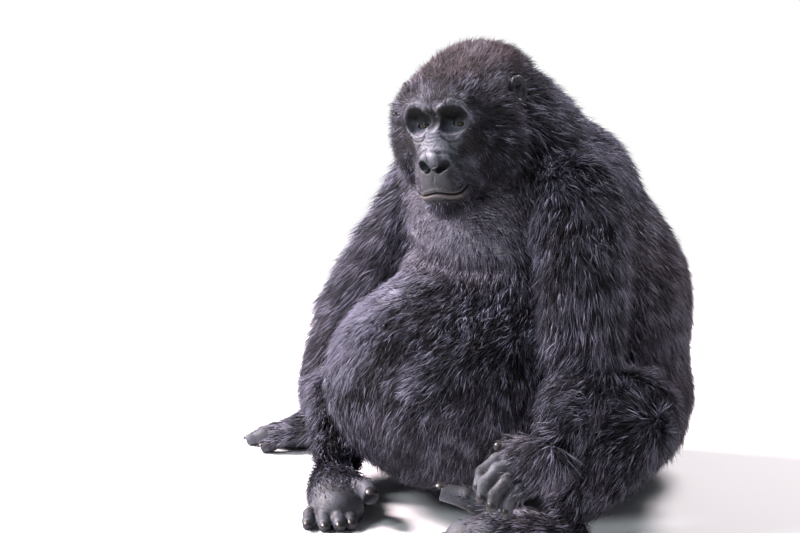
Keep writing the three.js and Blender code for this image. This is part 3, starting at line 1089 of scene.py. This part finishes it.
def marks(p, head):
    """How brown and how pale skin and coat are at body points; the brow's edge is paler hair under a painted
    highlight.
    """
    m = mirrored(to_head(p))
    x, y, z = m.T
    crown = step(36, 92, z) * step(210, 120, y) * step(-10, 20, y) * head
    back = 0.4 * step(20, 180, p[:, 1]) * step(620, 480, p[:, 2])
    brown = np.clip(0.9 * crown + back * (1 - head) + 0.12 * wander(p, 90, 3)[:, 0], 0, 1)
    chest = breast_area(p, (-15, -60), (170, 100), (400, 450), (640, 590)) * (1 - head)
    # the brow's edge: paler short hair, with a painted highlight where the light catches it
    arc = [(4, 28), (18, 33), (36, 37), (52, 30), (63, 13), (67, -8)]
    rim = crease(m, arc, 3.2) * step(40, 10, y) * 0.8 * step(-24, 4, z)
    beside = step(24, 34, x) * step(64, 54, x) * step(20, 0, y)
    lip_side = 0.6 * beside * step(-112, -100, z) * step(-50, -66, z)
    pale = np.clip(chest + 0.2 * step(0.3, 1, wander(p, 60, 5)[:, 1]) + (rim + lip_side) * head, 0, 1)
    return brown, pale


class Roots:
    """Places on the skin where hair grows, with what the hair needs to know there."""

    def __init__(self, surface, values, uv, weight, count, seed):
        random = np.random.default_rng(seed)
        corners = surface.points[surface.faces]
        area = np.linalg.norm(np.cross(corners[:, 1] - corners[:, 0], corners[:, 2] - corners[:, 0]), axis=1)
        total = np.cumsum(area * weight[surface.faces].mean(axis=1))
        face = np.searchsorted(total, (np.arange(count) + random.random(count)) / count * total[-1])
        face = np.minimum(face, len(area) - 1)
        u, v = np.sqrt(random.random(count)), random.random(count)
        mix = np.column_stack((1 - u, u * (1 - v), u * v))[:, :, None]
        self.place = (corners[face] * mix).sum(axis=1)
        values = (values[surface.faces[face]] * mix).sum(axis=1)
        self.normal, self.lie = unit(values[:, 0:3]), unit(values[:, 3:6])
        self.length, self.lift, self.breadth, self.head = values[:, 6:].T
        self.uv = (uv[face] * mix).sum(axis=1)
        self.random = random
        self.count = count


def lock_pull(roots, size, seed):
    """A pull at each tuft's tip towards the middle of its lock, and how much that lock shines."""
    cells = np.floor(roots.place / size).astype(int)
    span = cells.max(axis=0) - cells.min(axis=0) + 5
    base = cells.min(axis=0) - 2
    middles = np.random.default_rng(seed).random((*span, 4))
    best = np.full(roots.count, np.inf)
    pull = np.zeros_like(roots.place)
    shine = np.zeros(roots.count)
    for shift in np.ndindex(3, 3, 3):
        cell = cells + np.array(shift) - 1
        local = cell - base
        lock = middles[local[:, 0], local[:, 1], local[:, 2]]
        gap = (cell + lock[:, :3]) * size - roots.place
        far = np.linalg.norm(gap, axis=1)
        nearer = far < best
        best[nearer] = far[nearer]
        pull[nearer] = gap[nearer]
        shine[nearer] = lock[nearer, 3]
    return pull, shine


def tufts(roots, bends):
    """Arrays of closed three-sided tufts: points, faces, and for each face corner its patch place."""
    normal, draw = roots.normal, roots.random
    length = roots.length * draw.uniform(0.7, 1.15, roots.count)
    breadth = roots.breadth * draw.uniform(0.7, 1.2, roots.count)
    pull, shine = lock_pull(roots, LOCK, 21)
    lift = roots.lift * draw.normal(1, 0.25, roots.count) * (0.65 + 0.7 * shine)
    lift = np.radians(np.clip(lift, 3, 70))
    lie = roots.lie + 0.30 * wander(roots.place, 55, 11) + 0.18 * draw.normal(size=(roots.count, 3))
    lie = unit(across(lie, normal))
    side = np.cross(lie, normal)
    pull = across(pull, normal) * (np.minimum(1, length / 30) * 0.75)[:, None]
    rows = []
    heights = (0, 0.5, 1) if bends else (0, 1)
    for t in heights:
        rise = np.sin(lift * (1.35 - 0.4 * t)) * length * t
        run = np.cos(lift) * length * t
        centre = roots.place + lie * run[:, None] + pull * t * t
        centre += normal * (rise - (t == 0))[:, None]  # the root lies a millimetre under the skin
        centre[:, 2] -= 0.05 * length * t * t
        if t == 1:
            rows.append(centre[:, None])
            continue
        half = (breadth * (0.5 if t == 0 else 0.4))[:, None]
        corners = (centre + side * half, centre - side * half, centre + normal * half * 0.9)
        rows.append(np.stack(corners, axis=1))
    points = np.concatenate(rows, axis=1)
    points[:, :, 2] = np.maximum(points[:, :, 2], HAIR_LEVEL)
    per = points.shape[1]
    sides, patch = [], []
    for k in range(3):
        a, b = k, (k + 1) % 3
        left, right = k - 1.5, k - 0.5
        if bends:
            sides += [(a, 3 + a, 3 + b), (a, 3 + b, b), (3 + a, 6, 3 + b)]
            patch += [((left, -1.5), (left, 0), (right, 0)), ((left, -1.5), (right, 0), (right, -1.5))]
            patch += [((left, 0), (k - 1, 1.5), (right, 0))]
        else:
            sides += [(a, 3, b)]
            patch += [((left, -1.5), (k - 1, 1.5), (right, -1.5))]
    sides += [(0, 1, 2)]
    patch += [((-0.9, 1.5), (-0.1, 1.5), (-0.5, 0.4))]
    faces = np.array(sides)[None] + np.arange(roots.count)[:, None, None] * per
    uv = roots.uv[:, None, None] + np.array(patch)[None] * PATCH
    up = np.repeat(heights, [3] * (len(heights) - 1) + [1])
    return points, faces, uv, up, shine


def coat_mesh(name, groups):
    """One mesh of tufts from several sets of arrays, each with its marks."""
    points = np.concatenate([g[0].reshape(-1, 3) for g in groups])
    sizes = np.cumsum([0] + [g[0].shape[0] * g[0].shape[1] for g in groups])
    faces = np.concatenate([g[1].reshape(-1, 3) + start for g, start in zip(groups, sizes)])
    uv = np.concatenate([g[2].reshape(-1, 2) for g in groups])
    mesh = bpy.data.meshes.new(name)
    mesh.vertices.add(len(points))
    mesh.vertices.foreach_set("co", to_world(points).astype(np.float32).ravel())
    mesh.loops.add(faces.size)
    mesh.loops.foreach_set("vertex_index", faces.astype(np.int32).ravel())
    mesh.polygons.add(len(faces))
    mesh.polygons.foreach_set("loop_start", np.arange(0, faces.size, 3, dtype=np.int32))
    mesh.update()
    mesh.validate()
    layer = mesh.uv_layers.new(name="OFBake")
    layer.data.foreach_set("uv", np.clip(uv, 0.0005, 0.9995).astype(np.float32).ravel())
    for index, key in enumerate(("along", "tone", "brown", "pale")):
        store(mesh, key, np.concatenate([g[3][index].ravel() for g in groups]))
    mesh.shade_smooth()
    return mesh


def tuft_tone(roots, shine, bends):
    """How light each tuft is, from 0 to 1: at random, with painted highlights on shining locks and on the
    belly's right side, and painted shade on the straight tufts between locks, on the cheeks, on the belly's
    front and in the breast's folds.
    """
    p, head, body = roots.place, roots.head, 1 - roots.head
    x, y, z = p.T
    q = mirrored(to_head(p))
    cheek = step(25, 60, q[:, 0]) * step(90, 40, q[:, 2]) * step(120, 60, q[:, 1]) * head
    tone = 0.5 + 0.24 * roots.random.normal(size=roots.count) + 0.2 * wander(p, 30, 9)[:, 0]
    # painted light and shade: shining locks lighter, the finer straight tufts darker as if in shade between
    # the locks, the head a little darker and the cheeks darker as painted shade
    tone += 0.55 * (shine - 0.5) - 0.12 * (not bends) + 0.08 - 0.14 * head - 0.12 * cheek
    # painted highlight on the belly's right side, where the side light falls, and painted shade on its
    # front, middle to left; the back a little lighter
    belly_highlight = step(20, -100, x) * step(180, 300, z) * step(450, 400, z) * step(-60, -140, y)
    belly_shade = step(-40, 60, x) * step(230, 190, x) * step(430, 380, z) * step(-100, -160, y)
    tone += (0.4 * belly_highlight - 0.1 * belly_shade + 0.14 * step(60, 160, y)) * body
    breast = breast_area(p, (-15, -50), (160, 120), (450, 470), (600, 560)) * body
    # the breast's hair a little lighter, with painted shade and light in bands along its folds
    tone += breast * (0.12 + 0.3 * np.sin(FOLD_PITCH * fold_height(p)))
    return np.clip(tone, 0, 1)


def grow_coat(skin, curved, straight):
    """All the coat: curved tufts over finer straight ones, dealt out over its pieces."""
    surface = Surface(skin.data)
    share = surface.soften(part_shares(surface), 10)
    measures = coat_measures(surface, share)
    lie = hair_flow(surface, surface.soften(share, 24))
    head = columns(share, *HEAD_PARTS)
    values = np.column_stack((surface.normals(), lie, measures[:, :3], head))
    uv = np.empty(len(skin.data.loops) * 2, np.float32)
    skin.data.uv_layers["OFBake"].data.foreach_get("uv", uv)
    uv = uv.reshape(-1, 3, 2)
    scale = 1
    made = []
    for count, bends, seed in ((curved, True, SEED), (straight, False, SEED + 1)):
        roots = Roots(surface, values, uv, measures[:, 3], int(count * scale), seed)
        points, faces, patches, up, shine = tufts(roots, bends)
        brown, pale = marks(roots.place, roots.head)
        tone = tuft_tone(roots, shine, bends)
        per = points.shape[1]
        spread_out = [np.repeat(v[:, None], per, axis=1) for v in (tone, brown, pale)]
        made.append((points, faces, patches, [np.tile(up, (roots.count, 1))] + spread_out))
    pieces = []
    for piece in range(COAT_PIECES):
        groups = []
        for points, faces, patches, attributes in made:
            per = points.shape[1]
            mine = slice(piece, None, COAT_PIECES)
            count = len(points[mine])
            local = faces[:1] + np.arange(count)[:, None, None] * per
            groups.append((points[mine], local, patches[mine], [a[mine] for a in attributes]))
        name = f"coat_{piece + 1}"
        pieces.append(link_new(name, coat_mesh(name, groups)))
    return pieces


# Eyes and nails ---------------------------------------------------------------------------------


def build_eyes(radius, gaze):
    """Two wet eyeballs, each with a bulge over its iris."""
    pieces = []
    for side in ("left", "right"):
        centre = middle(f"eye_{side}")
        eyeball = bmesh.new()
        bmesh.ops.create_uvsphere(eyeball, u_segments=64, v_segments=48, radius=radius)
        for vert in eyeball.verts:
            angle = math.degrees(vert.co.angle(Vector((0, 0, 1))))
            vert.co *= 1 + 0.045 * float(step(34, 12, angle))
        ahead = Vector(HEAD @ unit(np.array(gaze, float)))
        spin = ahead.to_track_quat("Z", "Y").to_matrix()
        bmesh.ops.rotate(eyeball, verts=eyeball.verts, cent=(0, 0, 0), matrix=spin)
        angles = [math.degrees(v.co.angle(ahead)) for v in eyeball.verts]
        bmesh.ops.translate(eyeball, verts=eyeball.verts, vec=Vector(centre))
        name = f"eye_{side}_ball"
        mesh = new_mesh(name, eyeball)
        store(mesh, "open", np.array(angles))
        mesh.shade_smooth()
        pieces.append(link_new(name, mesh))
    return pieces


def build_nails():
    """A nail over the back of each fingertip and toe, wrapped on its rounded end."""
    nails = bmesh.new()
    for digit, back in all_digits():
        tip, size = digit[-1, :3], digit[-1, 3] - 1.0
        run = unit(tip - digit[-2, :3])
        up = unit(back - run * (back @ run))
        side = np.cross(run, up)
        grid = bmesh.ops.create_grid(nails, x_segments=10, y_segments=10, size=1)["verts"]
        for vert in grid:
            u, v = vert.co.x, vert.co.y
            swing = math.radians(54) * u * math.sqrt(1 - 0.4 * v * v)
            reach = (v + 0.3) * 0.72 * size
            around = up * math.cos(swing) + side * math.sin(swing)
            height = size + 0.9 - 1.0 * u * u
            if reach > 0:
                bend = 0.9 * reach / size
                place = tip + height * (run * math.sin(bend) + around * math.cos(bend))
            else:
                place = tip + run * reach + around * height
            vert.co = Vector(to_world(place))
    bmesh.ops.recalc_face_normals(nails, faces=nails.faces)
    bmesh.ops.solidify(nails, geom=nails.faces[:], thickness=0.0014)
    bmesh.ops.recalc_face_normals(nails, faces=nails.faces)
    mesh = new_mesh("nails", nails)
    mesh.shade_smooth()
    return link_new("nails", mesh)


# Finishes ---------------------------------------------------------------------------------------


def skin_finish(look):
    """Grey leathery skin where it is bare, and the coat's own colours under the hair, with painted shade in
    the eye sockets and the creases and painted highlights on the brow, the nose's bridge and under the eyes.
    """
    nodes = Nodes(bpy.data.materials.new("skin"))
    names = ("brown", "pale", "bare", "lip", "painted_shade", "crease", "ear", "painted_highlight")
    brown, pale, bare, lip, painted_shade, crease_depth, ear, painted_highlight = (nodes.mark(n) for n in names)
    fine = nodes.noise(260)
    base = nodes.blend(nodes.noise(26, 4).ramp(0.3, 0.7), look.skin_dark, look.skin_light)
    # painted shade in the eye sockets and between them, and the darker muzzle; the ears take the same
    # near-black as their own dark skin
    base = nodes.blend(painted_shade * 0.9 + ear * 0.7, base, look.painted_shade)
    # painted highlights on the brow's edge, the nose's bridge and under the eyes
    base = nodes.blend(painted_highlight, base, look.skin_pale_and_highlight)
    under = nodes.blend(brown, look.coat_dark, look.coat_brown)
    base = nodes.blend(bare, nodes.blend(pale, under, look.skin_pale_and_highlight), base)
    base = nodes.blend(lip * fine.ramp(0.2, 0.6, 0.6, 1.0), base, look.lip)
    # painted shade in the creases and along the mouth's line, by their depth
    base = nodes.blend(crease_depth.ramp(0.2, 2.0, 0.0, 0.8), base, look.coat_dark)
    base = nodes.blend(fine.ramp(0.42, 0.7, 0.0, 0.55), base, look.skin_dark)
    edges = {"feature": "DISTANCE_TO_EDGE"}
    cells = nodes.add("ShaderNodeTexVoronoi", edges, Vector=nodes.place(), Scale=430)[0]
    pores = nodes.noise(900, 2)
    folds = (nodes.mark("joint") * 2.4).math("SINE") * nodes.mark("knuckle")
    folds = folds + (nodes.mark("fold") * FOLD_PITCH).math("SINE") * nodes.mark("breast") * 1.6
    height = cells.ramp(0.0, 0.2) * 0.13 + fine * 0.85 + pores * 0.3 + folds * 0.45
    rough = fine.ramp(0.3, 0.8, 0.5, 0.65) + painted_shade * 0.3 - ear * 0.2
    nodes.finish(Base_Color=base, Roughness=rough, Specular_IOR_Level=0.5)
    return nodes.finish(Normal=nodes.bump(height, 0.0011, 0.7))


def coat_finish(look):
    """Hair from near black to pale by each tuft's tone, with painted glints on the lightest tufts, brown on
    the crown, pale on the breast and a painted highlight on the brow's edge.
    """
    nodes = Nodes(bpy.data.materials.new("coat"))
    along_hair, tone, brown, pale = (nodes.mark(n) for n in ("along", "tone", "brown", "pale"))
    light = nodes.blend(along_hair, look.coat_light, look.coat_tip)
    base = nodes.blend(tone.ramp(0.25, 0.8), look.coat_dark, light)
    # painted glints: the lightest tufts take a pale colour that stands in for highlights
    base = nodes.blend(tone.ramp(0.7, 1.0), base, look.coat_glint)
    warmth = brown * tone.ramp(0.1, 0.7, 0.25, 1.0) * (0.35 + 0.65 * along_hair)
    base = nodes.blend(warmth, base, look.coat_brown)
    # pale hair on the breast, and the painted highlight on the brow's edge
    base = nodes.blend(pale * tone.ramp(0.1, 0.7, 0.2, 1.0), base, look.coat_pale)
    nodes.finish(Base_Color=base, Roughness=tone.ramp(0, 1, 0.5, 0.36), Specular_IOR_Level=0.25)
    return nodes.finish(Sheen_Weight=look.sheen, Sheen_Roughness=0.45, Sheen_Tint=(0.78, 0.74, 0.95, 1))


def eye_finish(look):
    """Rings round the pupil by the angle from it: pupil, iris, dark rim and white."""
    nodes = Nodes(bpy.data.materials.new("eye"))
    angle = nodes.mark("open")
    rays = nodes.noise(420)
    iris = nodes.blend(rays, look.iris, [c * 0.35 for c in look.iris])
    base = nodes.blend(angle.ramp(9, 12), (0.002, 0.002, 0.002), iris)
    base = nodes.blend(angle.ramp(24, 29), base, (0.01, 0.007, 0.005))
    base = nodes.blend(angle.ramp(29, 36), base, look.eye_white)
    return nodes.finish(Base_Color=base, Roughness=0.3, Coat_Weight=1.0, Coat_Roughness=0.02)


def nail_finish(look):
    """Dark horn with paler streaks."""
    nodes = Nodes(bpy.data.materials.new("nail"))
    streak = nodes.noise(300)
    base = nodes.blend(streak, look.nail, [c * 2.2 for c in look.nail])
    rough = streak.ramp(0.3, 0.7, 0.28, 0.4)
    return nodes.finish(Base_Color=base, Roughness=rough, Normal=nodes.bump(streak, 0.0004))


# The stage ------------------------------------------------------------------------------------


def lay_floor():
    """A pale round floor that fades to white far out."""
    bpy.ops.mesh.primitive_circle_add(vertices=96, radius=FLOOR_RADIUS, fill_type="NGON")
    floor = bpy.context.object
    floor.name = "floor"
    nodes = Nodes(bpy.data.materials.new("floor"))
    far = nodes.add("ShaderNodeVectorMath", {"operation": "LENGTH"}, nodes.place())[-1]
    nodes.finish(Base_Color=(0.8, 0.8, 0.79, 1), Roughness=0.9, Specular_IOR_Level=0.2)
    nodes.show(far.ramp(*FLOOR_FADE), nodes.add("ShaderNodeEmission", None, WHITE, 1.0)[0])
    floor.data.materials.append(nodes.owner)


def set_camera():
    """A long lens that looks down a little from between the animal's front and its left side."""
    camera = bpy.data.cameras.new("camera")
    camera.lens, camera.sensor_width = LENS, SENSOR
    camera.clip_end = 50
    right, level = np.array((1, 1, 0)) / math.sqrt(2), np.array((-1, 1, 0)) / math.sqrt(2)
    drop = math.radians(VIEW_DROP)
    ahead = math.cos(drop) * level - math.sin(drop) * np.array((0, 0, 1))
    up = math.sin(drop) * level + math.cos(drop) * np.array((0, 0, 1))
    seat = link_new("camera", camera)
    seat.matrix_world = Matrix(np.column_stack((right, up, -ahead)).tolist()).to_4x4()
    seat.location = to_world(VIEW_AIM[0] * right + VIEW_AIM[1] * up - VIEW_AWAY * ahead)
    bpy.context.scene.camera = seat


def hang_lamps():
    """Soft square lamps above, in front and at the animal's right."""
    for name, (spot, size, power, tint) in LAMPS.items():
        lamp = bpy.data.lights.new(name, "AREA")
        lamp.size, lamp.energy, lamp.color = size, power, tint
        obj = link_new(name, lamp)
        obj.location = spot
        obj.rotation_euler = (Vector(LAMP_AIM) - Vector(spot)).to_track_quat("-Z", "Y").to_euler()


def light_world():
    """A faint blue light from all round, behind a white background."""
    world = bpy.data.worlds.new("sky")
    bpy.context.scene.world = world
    nodes = Nodes(world)
    nodes.finish(Color=WORLD_LIGHT[0], Strength=WORLD_LIGHT[1])
    seen = nodes.add("ShaderNodeLightPath")[0]  # 1 for what the camera sees
    nodes.show(seen, nodes.add("ShaderNodeBackground", None, WHITE, 1.0)[0])
    bpy.context.scene.view_settings.view_transform = "Standard"


# Controls ---------------------------------------------------------------------------------------


def shade(name, text, default):
    return bpy.props.FloatVectorProperty(
        name=name, description=text, subtype="COLOR", size=3, min=0, max=1, default=default
    )


class GorillaLook(bpy.types.PropertyGroup):
    """The colours and the shine"""

    coat_dark: shade("Coat, dark", "Colour of the darkest hair", (0.003, 0.003, 0.0042))
    coat_light: shade("Coat, light", "Colour of the lightest black hair", (0.032, 0.033, 0.048))
    coat_tip: shade("Coat, tips", "Colour that hair takes towards its tips", (0.088, 0.088, 0.122))
    # painted glints: this colour stands in for highlights on the hair
    coat_glint: shade("Coat, glints", "Colour of the few palest hairs", (0.30, 0.295, 0.39))
    coat_brown: shade("Coat, brown", "Colour of the reddish crown", (0.085, 0.045, 0.036))
    # also paints the highlight along the brow's edge
    coat_pale: shade("Coat, pale", "Colour of the thin hair on the breast", (0.2, 0.185, 0.232))
    skin_dark: shade("Skin, dark", "Darkest colour of bare skin", (0.030, 0.030, 0.035))
    skin_light: shade("Skin, light", "Lightest colour of bare skin", (0.085, 0.093, 0.118))
    # painted shade for the eye sockets and between the eyes, and the ears' own dark skin
    painted_shade: shade("Skin, hollows", "Colour round the eyes and in the ears", (0.003, 0.0035, 0.0035))
    # the breast's pale skin, and the colour of the painted highlights on the brow, the nose's bridge and
    # under the eyes
    skin_pale_and_highlight: shade("Skin, pale", "Colour of breast, brow's edge and nose", (0.21, 0.215, 0.275))
    lip: shade("Lip", "Colour of the lips and the teats", (0.115, 0.093, 0.092))
    iris: shade("Iris", "Colour of the iris", (0.045, 0.020, 0.009))
    eye_white: shade("White of the eye", "Colour round the iris", (0.14, 0.13, 0.12))
    nail: shade("Nail", "Colour of the nails", (0.018, 0.016, 0.016))
    sheen: bpy.props.FloatProperty(
        name="Sheen", description="Soft shine of the coat", min=0, max=1, default=0.08, subtype="FACTOR"
    )


class GorillaSizes(bpy.types.PropertyGroup):
    """The eyes' size and gaze, and how many tufts there are"""

    eyeball: bpy.props.FloatProperty(
        name="Eyeball", description="Its radius", default=0.0125, min=0.01, max=0.02, unit="LENGTH"
    )
    gaze: bpy.props.FloatVectorProperty(
        name="Gaze", description="Way the eyes look, in the head's frame", subtype="DIRECTION",
        default=(0.26, -0.95, 0.12),
    )
    curved: bpy.props.IntProperty(
        name="Curved tufts", description="How many tufts bend along the body", default=88000, min=8
    )
    straight: bpy.props.IntProperty(
        name="Straight tufts", description="How many finer tufts lie between them", default=150000, min=8
    )


class GORILLA_OT_skin(bpy.types.Operator):
    """Builds the skin with its face, hands and feet"""

    bl_idname = "gorilla.skin"
    bl_label = "Skin"

    def execute(self, context):
        obj = build_skin()
        obj.data.materials.append(skin_finish(context.scene.gorilla_look))
        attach(obj, ROOT)
        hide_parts(*FLESH)
        return {"FINISHED"}


class GORILLA_OT_eyes(bpy.types.Operator):
    """Builds the eyeballs"""

    bl_idname = "gorilla.eyes"
    bl_label = "Eyes"

    def execute(self, context):
        finish = eye_finish(context.scene.gorilla_look)
        sizes = context.scene.gorilla_sizes
        for obj in build_eyes(sizes.eyeball, sizes.gaze):
            obj.data.materials.append(finish)
            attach(obj, ROOT)
            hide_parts(obj.name.removesuffix("_ball"))
        return {"FINISHED"}


class GORILLA_OT_nails(bpy.types.Operator):
    """Builds the nails on the fingers and toes"""

    bl_idname = "gorilla.nails"
    bl_label = "Nails"

    def execute(self, context):
        obj = build_nails()
        obj.data.materials.append(nail_finish(context.scene.gorilla_look))
        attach(obj, ROOT)
        return {"FINISHED"}


class GORILLA_OT_coat(bpy.types.Operator):
    """Grows the coat over the skin"""

    bl_idname = "gorilla.coat"
    bl_label = "Coat"

    def execute(self, context):
        skin = bpy.data.objects["skin"]
        finish = coat_finish(context.scene.gorilla_look)
        sizes = context.scene.gorilla_sizes
        for obj in grow_coat(skin, sizes.curved, sizes.straight):
            obj.data.materials.append(finish)
            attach(obj, ROOT)
        skin.data.uv_layers.remove(skin.data.uv_layers["OFBake"])  # only the tufts needed it
        return {"FINISHED"}


class GORILLA_OT_stage(bpy.types.Operator):
    """Sets the floor, lights and camera"""

    bl_idname = "gorilla.stage"
    bl_label = "Stage"

    def execute(self, context):
        lay_floor()
        set_camera()
        hang_lamps()
        light_world()
        return {"FINISHED"}


OPERATORS = (GORILLA_OT_skin, GORILLA_OT_eyes, GORILLA_OT_nails, GORILLA_OT_coat, GORILLA_OT_stage)


class GORILLA_PT_panel(bpy.types.Panel):
    """Lists the sizes, the colours and the steps"""

    bl_idname = "GORILLA_PT_panel"
    bl_label = "Seated Gorilla"
    bl_space_type = "VIEW_3D"
    bl_region_type = "UI"
    bl_category = "Gorilla"

    def draw(self, context):
        for group in (context.scene.gorilla_sizes, context.scene.gorilla_look):
            for name in group.__annotations__:
                self.layout.prop(group, name)
        for operator in OPERATORS:
            self.layout.operator(operator.bl_idname)


CLASSES = (GorillaLook, GorillaSizes, *OPERATORS, GORILLA_PT_panel)


def register():
    for cls in CLASSES:
        bpy.utils.register_class(cls)
    bpy.types.Scene.gorilla_look = bpy.props.PointerProperty(type=GorillaLook)
    bpy.types.Scene.gorilla_sizes = bpy.props.PointerProperty(type=GorillaSizes)


def unregister():
    del bpy.types.Scene.gorilla_look
    del bpy.types.Scene.gorilla_sizes
    for cls in reversed(CLASSES):
        bpy.utils.unregister_class(cls)


def main():
    """Builds everything."""
    register()
    bpy.ops.gorilla.skin()
    bpy.ops.gorilla.eyes()
    bpy.ops.gorilla.nails()
    bpy.ops.gorilla.coat()
    bpy.ops.gorilla.stage()


if __name__ == "__main__":
    main()
